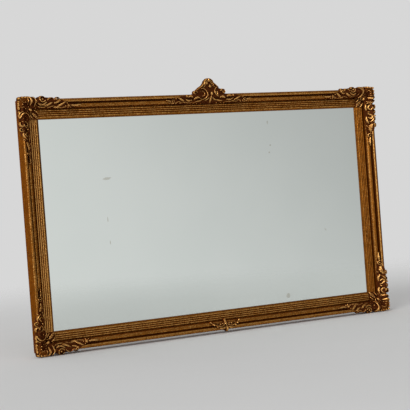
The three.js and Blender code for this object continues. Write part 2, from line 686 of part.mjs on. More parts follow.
function glazingBlocks() {
  const wall = REBATE_WIDTH - SEAT_GAP;
  const [sideWall, endWall] = [SIGHT_WIDTH / 2 + wall, SIGHT_HEIGHT / 2 + wall];
  return [
    blocksAlong("block_left", BLOCKS_PER_STILE, SIGHT_HEIGHT, sideWall, 0),
    blocksAlong("block_top", BLOCKS_PER_RAIL, SIGHT_WIDTH, endWall, Math.PI / 2),
    blocksAlong("block_right", BLOCKS_PER_STILE, SIGHT_HEIGHT, sideWall, Math.PI),
    blocksAlong("block_bottom", BLOCKS_PER_RAIL, SIGHT_WIDTH, endWall, -Math.PI / 2),
  ];
}

// Planks lie across the back over the rebate, their rear arrises chamfered.
function backPlanks() {
  const lap = REBATE_WIDTH + PLANK_LAP;
  const [width, height] = [SIGHT_WIDTH + 2 * lap, SIGHT_HEIGHT + 2 * lap];
  const pitch = height / PLANK_COUNT;
  const half = (pitch - PLANK_SEAM) / 2;
  const shape = new THREE.Shape();
  shape.moveTo(-half, -PLANK_THICKNESS);
  shape.lineTo(half, -PLANK_THICKNESS);
  shape.lineTo(half, -PLANK_CHAMFER);
  shape.lineTo(half - PLANK_CHAMFER, 0);
  shape.lineTo(PLANK_CHAMFER - half, 0);
  shape.lineTo(-half, -PLANK_CHAMFER);
  return Array.from({ length: PLANK_COUNT }, (_, i) => {
    const geometry = new THREE.ExtrudeGeometry(shape, { depth: width, bevelEnabled: false });
    geometry.translate(0, 0, -width / 2);
    const mesh = new THREE.Mesh(bare(geometry), agedPine());
    mesh.name = `back_plank_${i + 1}`;
    mesh.rotation.y = Math.PI / 2;
    mesh.position.z = height / 2 - (i + 0.5) * pitch;
    return mesh;
  });
}

// The strap's side view: a flat tongue rolled up at its top into an eye for the ring.
function strapMesh(name, eye) {
  const inner = RING_WIRE_RADIUS + RING_EYE_CLEARANCE;
  const outer = inner + STRAP_THICKNESS;
  const shape = new THREE.Shape();
  shape.moveTo(-outer, -STRAP_LENGTH);
  shape.lineTo(-inner, -STRAP_LENGTH);
  shape.lineTo(-inner, 0);
  shape.absarc(0, 0, inner, Math.PI, -Math.PI * 0.6, true);
  shape.absarc(0, 0, outer, -Math.PI * 0.6, Math.PI, false);
  const geometry = new THREE.ExtrudeGeometry(shape, {
    depth: STRAP_WIDTH, bevelEnabled: false, curveSegments: 6,
  });
  geometry.translate(0, 0, -STRAP_WIDTH / 2);
  const holes = [0, 1].map((i) => {
    const hole = new THREE.CylinderGeometry(STRAP_HOLE_RADIUS, STRAP_HOLE_RADIUS, 4 * outer, 10);
    hole.rotateZ(Math.PI / 2);
    hole.translate(-outer, -STRAP_FIRST_HOLE - i * STRAP_HOLE_PITCH, 0);
    return toSolid(hole);
  });
  const solid = toSolid(geometry).subtract(joined(holes));
  const mesh = new THREE.Mesh(toGeometry(solid), dullBrass());
  mesh.name = name;
  mesh.position.copy(eye);
  mesh.rotation.set(Math.PI / 2, Math.PI / 2, 0);
  return mesh;
}

// The ring is one closed wire: a straight bar through the eye and a round bow below it.
function ringMesh(name, eye) {
  const path = new THREE.Path();
  path.moveTo(RING_BEND_RADIUS - RING_HALF_WIDTH, 0);
  path.lineTo(RING_HALF_WIDTH - RING_BEND_RADIUS, 0);
  path.quadraticCurveTo(RING_HALF_WIDTH, 0, RING_HALF_WIDTH, -RING_BEND_RADIUS);
  path.lineTo(RING_HALF_WIDTH, -RING_LEG);
  path.absarc(0, -RING_LEG, RING_HALF_WIDTH, 0, -Math.PI, true);
  path.lineTo(-RING_HALF_WIDTH, -RING_BEND_RADIUS);
  path.quadraticCurveTo(-RING_HALF_WIDTH, 0, RING_BEND_RADIUS - RING_HALF_WIDTH, 0);
  const line = path.getPoints(4).slice(0, -1);
  const sides = 6;
  const rings = line.map((point, i) => {
    const before = line[(i + line.length - 1) % line.length];
    const after = line[(i + 1) % line.length];
    const along = after.clone().sub(before).normalize();
    return Array.from({ length: sides }, (_, k) => {
      const angle = (2 * Math.PI * (k + 0.5)) / sides;
      const across = RING_WIRE_RADIUS * Math.cos(angle);
      return new THREE.Vector3(
        point.x - along.y * across,
        RING_WIRE_RADIUS * Math.sin(angle),
        point.y + along.x * across,
      );
    });
  });
  const mesh = new THREE.Mesh(loft(rings, true), dullBrass());
  mesh.name = name;
  mesh.position.copy(eye);
  return mesh;
}

// Each hanger lies on the bare back of its stile, midway between plank edge and outer edge.
function hangers() {
  const bareStart = REBATE_WIDTH + PLANK_LAP;
  const across = FRAME_WIDTH / 2 - (MOULDING_WIDTH - bareStart) / 2;
  const eyeY = BACK_Y + SEAT_GAP + STRAP_THICKNESS + RING_EYE_CLEARANCE + RING_WIRE_RADIUS;
  const eyeZ = FRAME_HEIGHT / 2 - HANGER_BELOW_TOP;
  return [["left", -1], ["right", 1]].flatMap(([hand, right]) => {
    const eye = new THREE.Vector3(right * across, eyeY, eyeZ);
    return [strapMesh(`hanger_strap_${hand}`, eye), ringMesh(`hanger_ring_${hand}`, eye)];
  });
}

const overmantelMirror = new THREE.Group();
overmantelMirror.add(
  ...mouldings(),
  ...ornaments(),
  mirrorPlate(),
  ...glazingBlocks(),
  ...backPlanks(),
  ...hangers(),
);

export default overmantelMirror;
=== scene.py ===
# A gilt overmantel mirror: reeded mouldings, cast rococo ornament, a silvered plate and a boarded back.
import math

import bpy
import numpy as np
from mathutils import Matrix, Vector, noise


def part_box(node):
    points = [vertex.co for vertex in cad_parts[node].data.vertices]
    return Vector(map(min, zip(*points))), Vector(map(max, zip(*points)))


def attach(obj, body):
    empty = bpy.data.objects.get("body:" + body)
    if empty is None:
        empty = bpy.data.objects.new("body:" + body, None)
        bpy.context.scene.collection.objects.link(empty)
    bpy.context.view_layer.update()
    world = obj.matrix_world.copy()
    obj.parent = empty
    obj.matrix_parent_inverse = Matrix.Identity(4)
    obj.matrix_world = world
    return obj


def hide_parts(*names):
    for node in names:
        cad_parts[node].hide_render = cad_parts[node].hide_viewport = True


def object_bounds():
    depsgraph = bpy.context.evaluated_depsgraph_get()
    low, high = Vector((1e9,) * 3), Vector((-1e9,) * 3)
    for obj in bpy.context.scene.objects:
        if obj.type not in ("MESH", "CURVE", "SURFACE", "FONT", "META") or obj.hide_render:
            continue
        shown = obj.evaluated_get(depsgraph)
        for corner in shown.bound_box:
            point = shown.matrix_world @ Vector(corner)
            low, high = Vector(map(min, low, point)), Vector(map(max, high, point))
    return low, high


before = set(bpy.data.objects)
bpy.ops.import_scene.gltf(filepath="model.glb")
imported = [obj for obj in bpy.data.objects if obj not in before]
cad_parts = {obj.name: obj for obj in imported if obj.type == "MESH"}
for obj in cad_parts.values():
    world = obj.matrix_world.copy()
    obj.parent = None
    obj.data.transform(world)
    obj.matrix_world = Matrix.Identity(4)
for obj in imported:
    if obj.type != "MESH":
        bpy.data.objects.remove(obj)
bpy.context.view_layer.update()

# Drawn sizes are in millimetres and become metres as a mesh is placed.
MM = 0.001

# The frame's outer edges and the plane of its flat back, read from the mouldings.
HALF_WIDTH = -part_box("stile_left")[0].x / MM
HALF_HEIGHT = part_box("rail_top")[1].z / MM
BACK_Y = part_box("rail_top")[1].y / MM

# Moulding section, across from the sight edge and up from the flat back.
MOULDING_WIDTH = 71
MOULDING_DEPTH = 60
SIGHT_RISE = 28
LIP_THICKNESS = 4.5
LIP_WIDTH = 5
REBATE_WIDTH = 10
REED_COUNT = 4
REED_PITCH = 7.5
REED_HEIGHT = 2.6
REED_BED_RISE = 29.4
INNER_QUIRK_WIDTH = 3
INNER_QUIRK_RISE = 24.5
OVOLO_RISE = 46.5
OUTER_QUIRK_WIDTH = 2
OUTER_QUIRK_RISE = 39.8
ROLL_RADIUS = 6.5
MITRE_GAP = 0.2
REBATE_RISE = SIGHT_RISE - LIP_THICKNESS
SIDE_TOP = 52
REED_BAND_END = LIP_WIDTH + REED_COUNT * REED_PITCH
OVOLO_START = REED_BAND_END + INNER_QUIRK_WIDTH
OVOLO_END = MOULDING_WIDTH - 2 * ROLL_RADIUS - OUTER_QUIRK_WIDTH
OVOLO_CREST = (OVOLO_START + 2 * OVOLO_END) / 3
ROLL_CENTRE = MOULDING_WIDTH - ROLL_RADIUS

# A moulding is cut across at this pitch; painted shade on its side face and lip darkens them by these shares.
CUT_PITCH = 9
SIDE_FACE_SHADE = 0.06
LIP_SHADE = 0.3

# Castings: the cell they are pressed at, their skin over the moulding and the wings past its edge.
CELL = 0.72
SEAT_GAP = 0.3
SKIN = 2.0
EDGE_ROUND = 3.2
EDGE_LEAST = 0.5
WING_BACK = 44
WING_SKIN = 54.5
WING_GROUND = 56
WING_REACH = 12


def deselect():
    bpy.ops.object.select_all(action="DESELECT")


def only(piece):
    """Makes a piece the one selected and active object."""
    deselect()
    piece.select_set(True)
    bpy.context.view_layer.objects.active = piece
    return piece


def edit(piece, *steps):
    """Runs operators on a piece in edit mode."""
    only(piece)
    bpy.ops.object.mode_set(mode="EDIT")
    for step in steps:
        step()
    bpy.ops.object.mode_set(mode="OBJECT")


def choose(piece, vertices):
    """Selects vertices of a piece by a mask, and the faces whose corners are all in it."""
    mesh = piece.data
    for elements in (mesh.vertices, mesh.edges, mesh.polygons):
        elements.foreach_set("select", np.zeros(len(elements), bool))
    mesh.vertices.foreach_set("select", vertices)


def corners(piece):
    places = np.empty(len(piece.data.vertices) * 3)
    piece.data.vertices.foreach_get("co", places)
    return places.reshape(-1, 3)


def set_corners(piece, places):
    piece.data.vertices.foreach_set("co", np.ascontiguousarray(places, np.float32).ravel())
    piece.data.update()


def paint(piece, name, values):
    """Stores a value for each vertex, which a material reads."""
    layer = piece.data.attributes.get(name) or piece.data.attributes.new(name, "FLOAT", "POINT")
    layer.data.foreach_set("value", np.ascontiguousarray(values, np.float32))


def edit_all(piece, step):
    """Runs an operator on the whole of a piece in edit mode."""
    edit(piece, lambda: bpy.ops.mesh.select_all(action="SELECT"), step)


def recalculate(piece):
    edit_all(piece, lambda: bpy.ops.mesh.normals_make_consistent(inside=False))


def settle(piece):
    """Puts a placed piece's turn, size and place into its mesh, so that its object sits at the origin."""
    only(piece)
    bpy.ops.object.transform_apply(location=True, rotation=True, scale=True)
    return piece


def modify(piece, kind, **settings):
    """Adds a modifier to a piece and applies it."""
    only(piece)
    bpy.ops.object.modifier_add(type=kind)
    modifier = piece.modifiers[-1]
    for key, value in settings.items():
        setattr(modifier, key, value)
    bpy.ops.object.modifier_apply(modifier=modifier.name)


def dress(piece, name, body, slot, *finishes, stands_for=()):
    """Names a finished piece, gives it its finishes and joins it to its body."""
    piece.name = piece.data.name = name
    piece.data.materials.clear()
    for finish in finishes:
        piece.data.materials.append(finish)
    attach(piece, body)
    if stands_for:
        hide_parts(*stands_for)


# ---------------------------------------------------------------- finishes


class NodeTree:
    """The nodes of a material or world in the making, with one method for each kind of step."""

    def __init__(self, owner, place):
        owner.use_nodes = True
        self.nodes = owner.node_tree.nodes
        self.links = owner.node_tree.links
        self.place = self.add("ShaderNodeTexCoord").outputs[place]

    def add(self, kind, **settings):
        node = self.nodes.new(kind)
        for key, value in settings.items():
            setattr(node, key, value)
        return node

    def put(self, socket, value):
        if isinstance(value, bpy.types.NodeSocket):
            self.links.new(value, socket)
        else:
            socket.default_value = value

    def step(self, kind, output, settings, **inputs):
        """Adds a node, sets its inputs by name, with spaces for underscores, and gives one output."""
        node = self.add(kind, **settings)
        for key, value in inputs.items():
            self.put(node.inputs[key.replace("_", " ")], value)
        return node.outputs[output]

    def stretched(self, scale, turn=(0, 0, 0), shift=(0, 0, 0), kind="POINT"):
        """Object coordinates scaled by a different amount along each axis."""
        return self.step(
            "ShaderNodeMapping", "Vector", {"vector_type": kind},
            Vector=self.place, Scale=scale, Rotation=turn, Location=shift)

    def noise(self, scale, detail=3, rough=0.55, warp=0, place=None):
        return self.step(
            "ShaderNodeTexNoise", "Fac", {},
            Vector=place or self.place, Scale=scale, Detail=detail, Roughness=rough, Distortion=warp)

    def cells(self, scale, place):
        return self.step("ShaderNodeTexVoronoi", "Distance", {}, Vector=place, Scale=scale)

    def attribute(self, name):
        return self.step("ShaderNodeAttribute", "Fac", {"attribute_name": name})

    def span(self, value, low, high, to_low=0, to_high=1):
        """Maps low..high onto to_low..to_high, smoothly and held at the ends."""
        return self.step(
            "ShaderNodeMapRange", "Result", {"interpolation_type": "SMOOTHSTEP"},
            Value=value, From_Min=low, From_Max=high, To_Min=to_low, To_Max=to_high)

    def length(self, vector):
        return self.step("ShaderNodeVectorMath", "Value", {"operation": "LENGTH"}, Vector=vector)

    def math(self, operation, first, second=0.0):
        node = self.add("ShaderNodeMath", operation=operation, use_clamp=operation in ("ADD", "SUBTRACT"))
        self.put(node.inputs[0], first)
        self.put(node.inputs[1], second)
        return node.outputs[0]

    def blend(self, share, first, second):
        """Mixes two colours, each a socket or three plain values."""
        node = self.add("ShaderNodeMix", data_type="RGBA")
        self.put(node.inputs[0], share)
        self.put(node.inputs[6], (*first, 1) if isinstance(first, tuple) else first)
        self.put(node.inputs[7], (*second, 1) if isinstance(second, tuple) else second)
        return node.outputs[2]

    def bump(self, height, strength, distance, **under):
        return self.step(
            "ShaderNodeBump", "Normal", {}, Height=height, Strength=strength, Distance=distance, **under)


class Finish(NodeTree):
    """A procedural material in the making."""

    def __init__(self, name):
        self.material = bpy.data.materials.new(name)
        super().__init__(self.material, "Object")
        self.shader = self.nodes["Principled BSDF"]

    def set(self, **values):
        """Sets the shader's sockets by name, with spaces for underscores."""
        for key, value in values.items():
            self.put(self.shader.inputs[key.replace("_", " ")], value)
        return self.material


def old_gold(name, base, bright, hollow, fleck_from, wear_and_highlight_share, grazing):
    """Worn leaf over red bole: bright where hands rub it and where a painted highlight lies on crests, dark
    reddish brown where painted shade lies in hollows, with a little random grime.
    """
    finish = Finish(name)
    painted_shade, wear_and_highlight = finish.attribute("painted_shade"), finish.attribute("wear_and_highlight")
    patches = finish.noise(55, 4, 0.6)
    mottle = finish.noise(230, 3, 0.65)
    stipple = finish.noise(620, 2, 0.6)
    tone = finish.blend(finish.span(patches, 0.36, 0.66), base, tuple(0.66 * c for c in base))
    speck = finish.math("ADD", finish.math("MULTIPLY", mottle, 0.5), finish.math("MULTIPLY", stipple, 0.5))
    # Painted highlight on crests, with random wear, lightens the leaf towards the bright colour.
    worn_and_lit = finish.math("ADD", speck, finish.math("MULTIPLY", wear_and_highlight, wear_and_highlight_share))
    leaf = finish.blend(finish.span(worn_and_lit, fleck_from, fleck_from + 0.12), tone, bright)
    # Painted shade in hollows, with a little random grime on top, darkens it towards the hollow colour.
    grime_and_shade = finish.math("ADD", painted_shade, finish.math("MULTIPLY", finish.span(mottle, 0.5, 0.36), 0.2))
    colour = finish.blend(finish.span(grime_and_shade, 0.1, 0.75), leaf, hollow)
    dull = finish.math("ADD", finish.span(patches, 0.3, 0.7, 0.28, 0.38), finish.math("MULTIPLY", painted_shade, 0.25))
    rough = finish.math("SUBTRACT", dull, finish.math("MULTIPLY", wear_and_highlight, 0.1))
    dents = finish.bump(mottle, 0.4, 0.0009)
    return finish.set(
        Base_Color=colour,
        Metallic=finish.span(grime_and_shade, 0.2, 0.95, 0.95, 0.6),
        Roughness=rough,
        Specular_IOR_Level=0.12,
        Specular_Tint=grazing,
        Normal=finish.bump(stipple, 0.3, 0.0003, Normal=dents),
    )


def bare_wood(name, light, dark, along):
    """Sawn softwood darkened by age, its grain running along the axis given."""
    finish = Finish(name)

    def drawn_out(across, lengthwise):
        return finish.stretched(tuple(lengthwise if axis == along else across for axis in range(3)))

    grain = finish.noise(1, 5, 0.62, 1.4, drawn_out(34.0, 1.6))
    fibre = finish.noise(1, 3, 0.6, 0.0, drawn_out(420.0, 9.0))
    knots = finish.cells(3.1, finish.stretched((1.4, 1.4, 3.0)))
    stain = finish.noise(5, 4, 0.6)
    wood = finish.blend(finish.span(grain, 0.35, 0.66), light, dark)
    fibres = finish.math("MULTIPLY", finish.span(fibre, 0.4, 0.7), 0.45)
    stains = finish.math("MULTIPLY", finish.span(stain, 0.45, 0.75), 0.5)
    for share, shade in ((fibres, 0.5), (finish.span(knots, 0.075, 0.03), 0.32), (stains, 0.55)):
        wood = finish.blend(share, wood, tuple(shade * c for c in dark))
    return finish.set(
        Base_Color=wood,
        Roughness=finish.span(grain, 0.3, 0.7, 0.72, 0.9),
        Normal=finish.bump(fibre, 0.4, 0.0005, Normal=finish.bump(grain, 0.25, 0.0008)),
    )


def silvering():
    """Old silvered plate glass: a pale green cast, faint haze and a few brown flaws where silver has gone."""
    finish = Finish("silvered_plate")
    haze = finish.noise(2.2, 3, 0.5)
    cloud = finish.noise(14, 4, 0.6)
    colour = finish.blend(finish.span(haze, 0.3, 0.7), (0.89, 0.94, 0.905), (0.86, 0.915, 0.88))
    flaw = None
    for x, z, long, tall, turn in PLATE_FLAWS:
        size, place = (long * MM, 1e3, tall * MM), (x * MM, 0, z * MM)
        at = finish.stretched(size, (0, turn, 0), place, "TEXTURE")
        ragged = finish.math("MULTIPLY", finish.noise(330, 3, 0.7), 1.3)
        spot = finish.span(finish.math("SUBTRACT", finish.length(at), ragged), 0.45, 0.1)
        flaw = spot if flaw is None else finish.math("MAXIMUM", flaw, spot)
    colour = finish.blend(finish.math("MULTIPLY", flaw, 0.4), colour, (0.42, 0.36, 0.24))
    clouded = finish.span(cloud, 0.45, 0.8, 0.015, 0.035)
    rough = finish.math("ADD", clouded, finish.math("MULTIPLY", flaw, 0.15))
    return finish.set(Base_Color=colour, Metallic=1.0, Roughness=rough)


def dull_brass():
    finish = Finish("dull_brass")
    tarnish = finish.noise(220, 4, 0.6)
    scratch = finish.noise(1, 2, 0.5, place=finish.stretched((1500.0, 1500.0, 120.0)))
    colour = finish.blend(finish.span(tarnish, 0.35, 0.7), (0.52, 0.38, 0.15), (0.2, 0.13, 0.055))
    return finish.set(
        Base_Color=colour,
        Metallic=0.95,
        Roughness=finish.span(tarnish, 0.3, 0.7, 0.28, 0.5),
        Normal=finish.bump(scratch, 0.12, 0.0001),
    )


def pale_floor():
    """A pale floor that fades into the studio behind it, so that no edge shows."""
    finish = Finish("studio_floor")
    dapple = finish.noise(3, 3, 0.5)
    colour = finish.blend(dapple, (0.77, 0.77, 0.765), (0.79, 0.79, 0.785))
    near = finish.span(finish.length(finish.place), FLOOR_RADIUS, 0.3 * FLOOR_RADIUS)
    return finish.set(Base_Color=colour, Roughness=0.8, Specular_IOR_Level=0.0, Alpha=near)


FLOOR_RADIUS = 4  # metres

# Flaws in the silvering: x and z of the middle, half length, half height, turn.
PLATE_FLAWS = [
    (-431, 154, 17, 5, -0.1),
    (265, 335, 3, 8, 0.0),
    (271, 244, 4, 4, 0.0),
    (264, 216, 4, 4, 0.0),
    (-439, 4, 2, 10, 0.0),
    (-436, -81, 2, 8, 0.0),
    (303, -354, 9, 10, 0.3),
    (499, -107, 7, 2, 0.9),
]

# Each gold's hollow colour is what painted shade darkens it to; bright is the colour of rubbed leaf and of
# painted highlights.
moulding_gold = old_gold(
    "moulding_gold", base=(0.31, 0.107, 0.013), bright=(0.7, 0.36, 0.1), hollow=(0.125, 0.028, 0.001),
    fleck_from=0.55, wear_and_highlight_share=0.16, grazing=(0.56, 0.38, 0.16, 1))
cast_gold = old_gold(
    "cast_gold", base=(0.19, 0.055, 0.008), bright=(0.8, 0.42, 0.125), hollow=(0.095, 0.024, 0.006),
    fleck_from=0.66, wear_and_highlight_share=0.27, grazing=(0.5, 0.26, 0.09, 1))
rail_pine = bare_wood("rail_pine", (0.3, 0.19, 0.1), (0.15, 0.085, 0.04), 0)
stile_pine = bare_wood("stile_pine", (0.3, 0.19, 0.1), (0.15, 0.085, 0.04), 2)
plank_pine = bare_wood("plank_pine", (0.36, 0.24, 0.13), (0.2, 0.12, 0.06), 0)
brass = dull_brass()
plate_silver = silvering()


# ---------------------------------------------------------------- mouldings


def spiral(centre, start, end, outer, inner, steps=30):
    turns = np.radians(np.linspace(start, end, steps + 1))
    radii = np.linspace(outer, inner, steps + 1)
    return np.column_stack([centre[0] + radii * np.cos(turns), centre[1] + radii * np.sin(turns)])


def bow(first, pull, last, steps):
    """Points of a quadratic curve from first to last, without the first."""
    t = np.linspace(0, 1, steps + 1)[1:, None]
    first, pull, last = np.array(first), np.array(pull), np.array(last)
    return (1 - t) ** 2 * first + 2 * t * (1 - t) * pull + t**2 * last


def moulding_section():
    """The section as a closed outline: how far out from the sight edge, and how far forward of the back."""
    outline = [(MOULDING_WIDTH, 0), (REBATE_WIDTH, 0), (REBATE_WIDTH, REBATE_RISE)]
    outline += [(0.4, REBATE_RISE), (0, REBATE_RISE + 0.4), (0, SIGHT_RISE - 0.7)]
    outline += [(0.7, SIGHT_RISE), (LIP_WIDTH - 0.5, REED_BED_RISE - 0.2)]
    for reed in range(REED_COUNT):
        for step in range(9):
            share = step / 8
            across = LIP_WIDTH + (reed + 0.04 + 0.92 * share) * REED_PITCH
            outline.append((across, REED_BED_RISE + REED_HEIGHT * math.sin(math.pi * share) ** 0.75))
    outline += [(REED_BAND_END + INNER_QUIRK_WIDTH / 3, INNER_QUIRK_RISE)]
    outline += [(OVOLO_START - INNER_QUIRK_WIDTH / 3, INNER_QUIRK_RISE)]
    outline += bow(outline[-1], (OVOLO_START, OVOLO_RISE), (OVOLO_CREST, OVOLO_RISE), 10).tolist()
    end = (OVOLO_END, OUTER_QUIRK_RISE)
    outline += bow(outline[-1], (OVOLO_END - OUTER_QUIRK_WIDTH, OVOLO_RISE), end, 7).tolist()
    outline += [(OVOLO_END + OUTER_QUIRK_WIDTH, OUTER_QUIRK_RISE)]
    roll = (ROLL_CENTRE, MOULDING_DEPTH - ROLL_RADIUS)
    outline += spiral(roll, 180, 0, ROLL_RADIUS, ROLL_RADIUS, 16).tolist()
    outline += [(MOULDING_WIDTH, rise) for rise in (46, 36, 26, 16, 6)]
    return np.array(outline)


def proudness(outline, reach):
    """How far each point of the section stands proud of its neighbourhood; below zero it lies in a hollow."""
    across, rise = outline.T
    front = (across < MOULDING_WIDTH - 0.01) & (rise > SIGHT_RISE - 1)
    grid = np.linspace(0, MOULDING_WIDTH, 285)
    order = np.argsort(across[front])
    line = np.interp(grid, across[front][order], rise[front][order])
    stand = np.interp(across, grid, line - blurred_line(line, reach * 4))
    return np.where(front, stand, 0)


def blurred_line(values, reach):
    kernel = np.exp(-0.5 * (np.arange(-3 * reach, 3 * reach + 1) / reach) ** 2)
    padded = np.pad(values, 3 * reach, mode="edge")
    return np.convolve(padded, kernel / kernel.sum(), "valid")


def unevenness(places, scale, seed):
    """Smooth three-dimensional noise at each place, about -1 to 1."""
    shift = Vector((seed * 17.3, seed * 5.1, seed * 9.7))
    return np.array([noise.noise(Vector(place) * scale + shift) for place in places])


def moulding(name, length, upright, sign, seed, wear_and_sheen):
    """One mitred length: the section is drawn out along the rail, cut to the mitres and turned into place."""
    outline = moulding_section()
    bpy.ops.mesh.primitive_circle_add(vertices=len(outline), fill_type="NGON")
    piece = bpy.context.active_object
    inset = MOULDING_WIDTH - outline[:, 0]
    half = length / 2
    flat = np.column_stack([np.full(len(outline), -half), -outline[:, 1], -inset])
    set_corners(piece, flat)
    reach = {"value": (length, 0, 0)}
    edit_all(piece, lambda: bpy.ops.mesh.extrude_region_move(TRANSFORM_OT_translate=reach))
    places = corners(piece)
    mitre = half + places[:, 2] - MITRE_GAP
    places[:, 0] = np.sign(places[:, 0]) * mitre
    set_corners(piece, places)
    ends = np.array([edge.vertices[:] for edge in piece.data.edges])
    lengthwise = np.abs(places[ends[:, 0], 0] - places[ends[:, 1], 0]) > MOULDING_WIDTH * 2
    choose(piece, np.zeros(len(places), bool))
    piece.data.edges.foreach_set("select", lengthwise)
    only(piece)
    bpy.context.tool_settings.mesh_select_mode = (False, True, False)
    bpy.ops.object.mode_set(mode="EDIT")
    bpy.ops.mesh.subdivide(number_cuts=round(length / CUT_PITCH), quadcorner="INNERVERT")
    bpy.ops.object.mode_set(mode="OBJECT")
    bpy.context.tool_settings.mesh_select_mode = (True, False, False)
    recalculate(piece)

    places = corners(piece)
    across, rise = MOULDING_WIDTH + places[:, 2], -places[:, 1]
    nearest = np.argmin(np.hypot(across[:, None] - outline[:, 0], rise[:, None] - outline[:, 1]), axis=1)
    outermost = across > MOULDING_WIDTH - 0.01
    on_side = outermost & (rise < SIDE_TOP)
    # Painted shade darkens the hollows, the side face and the lip; a painted highlight lightens the crests,
    # with random wear and, on the reeds, each length's own wear and sheen.
    hollow = np.where(on_side, 0, -proudness(outline, 5)[nearest])
    proud = np.where(on_side, 0, proudness(outline, 2)[nearest])
    wave = unevenness(places * (0.35, 1, 1), 0.11, seed)
    side_and_lip_shade = np.where(on_side, SIDE_FACE_SHADE, 0) + np.where(across < LIP_WIDTH, LIP_SHADE, 0)
    reeds = (across > LIP_WIDTH) & (across < REED_BAND_END + 1)
    paint(piece, "painted_shade", np.maximum(np.clip(hollow / 3.2, 0, 1) ** 0.7, side_and_lip_shade))
    paint(piece, "wear_and_highlight", np.clip(proud / 1.2 + 0.25 * wave + np.where(reeds, wear_and_sheen, min(wear_and_sheen, 0)), 0, 1))
    gilt = (rise > REBATE_RISE + 0.2) | outermost
    inner = gilt & (rise > 2) & (np.abs(places[:, 0]) < half + places[:, 2] - 1)
    places[inner, 1] += 0.16 * wave[inner]

    def wooden(face):
        return all(rise[v] < REBATE_RISE + 0.1 for v in face.vertices) and not all(
            outermost[v] for v in face.vertices)

    wood_faces = [wooden(face) for face in piece.data.polygons]
    edge = HALF_WIDTH if upright else HALF_HEIGHT
    turned = places + (0, 0, edge)
    if upright:
        turned = np.column_stack([sign * turned[:, 2], turned[:, 1], -sign * turned[:, 0]])
    elif sign < 0:
        turned = np.column_stack([-turned[:, 0], turned[:, 1], -turned[:, 2]])
    turned[:, 1] += BACK_Y
    set_corners(piece, turned * MM)
    piece.data.polygons.foreach_set("use_smooth", np.ones(len(piece.data.polygons), bool))
    only(piece)
    bpy.ops.object.shade_smooth_by_angle(angle=math.radians(50))
    pine = stile_pine if upright else rail_pine
    dress(piece, name + "_wood", "frame", "gilt_moulding", moulding_gold, pine, stands_for=[name])
    piece.data.polygons.foreach_set("material_index", np.array(wood_faces, np.int32))


# ---------------------------------------------------------------- cast ornament


def seat_rise(inset):
    """The face the castings lie on, over reeds, ovolo and roll; past the outer edge, the back of a wing."""
    shoulder = MOULDING_DEPTH + ROLL_RADIUS * (math.tan(math.pi / 6) - 1)
    top = MOULDING_DEPTH + ROLL_RADIUS * (1 / math.cos(math.pi / 6) - 1)
    reeds = REED_BED_RISE + REED_HEIGHT
    profile = [
        (0, shoulder), (ROLL_RADIUS, top), (2 * ROLL_RADIUS, shoulder), (18, OVOLO_RISE), (30, OVOLO_RISE),
        (MOULDING_WIDTH - REED_BAND_END, reeds), (MOULDING_WIDTH - LIP_WIDTH, reeds),
        (MOULDING_WIDTH, SIGHT_RISE),
    ]
    along, rise = np.array(profile).T
    return np.where(inset < -SEAT_GAP, WING_BACK, np.interp(inset, along, rise) + SEAT_GAP)


def ground_rise(inset):
    """The smooth ground the carving stands on, bridging the hollows of the moulding."""
    lift = SEAT_GAP + SKIN
    line = [
        (-WING_REACH, WING_GROUND), (ROLL_RADIUS, MOULDING_DEPTH + lift),
        (MOULDING_WIDTH - OVOLO_CREST, OVOLO_RISE + lift + 3),
        (MOULDING_WIDTH - REED_BAND_END, (OVOLO_RISE + REED_BED_RISE) / 2 + lift),
        (MOULDING_WIDTH - LIP_WIDTH, REED_BED_RISE + REED_HEIGHT + lift),
    ]
    along, rise = np.array(line).T
    return np.interp(inset, along, rise)


def edge_of(s, power=6):
    """1 over the middle of a stroke, falling steeply to 0 at its sides."""
    return np.sqrt(np.clip(1 - np.abs(s) ** power, 0, 1))


def rib(s, t):
    """A round-backed stroke, from side to side (s) the same all along it (t)."""
    return np.sqrt(np.clip(1 - s**2, 0, 1))


def veined(veins):
    """A leaf's blade: a sunk midrib, with side veins that run out towards the tip."""
    def blade(s, t):
        midrib = np.exp(-((s / 0.16) ** 2))
        side = 0.09 * np.cos(2 * math.pi * (veins * t - 0.8 * np.abs(s)))
        return (1 - 0.35 * np.abs(s) ** 1.5) * (1 - 0.22 * midrib) + side
    return blade


def spline(points, steps=8):
    """A smooth curve through the points (Catmull-Rom)."""
    points = [np.array(p, float) for p in points]
    ends = [2 * points[0] - points[1]] + points + [2 * points[-1] - points[-2]]
    path = []
    for a, b, c, d in zip(ends, ends[1:], ends[2:], ends[3:]):
        for t in np.linspace(0, 1, steps, endpoint=False):
            path.append(0.5 * (2 * b + (c - a) * t + (2 * a - 5 * b + 4 * c - d) * t**2
                               + (3 * b - a - 3 * c + d) * t**3))
    path.append(points[-1])
    return np.array(path)


def blurred(field, reach):
    size = max(1, round(3 * reach / CELL))
    steps = np.arange(-size, size + 1) * CELL / reach
    kernel = np.exp(-0.5 * steps**2)
    kernel /= kernel.sum()
    padded = np.pad(field, size, mode="edge")
    rows = np.apply_along_axis(np.convolve, 0, padded, kernel, "valid")
    return np.apply_along_axis(np.convolve, 1, rows, kernel, "valid")


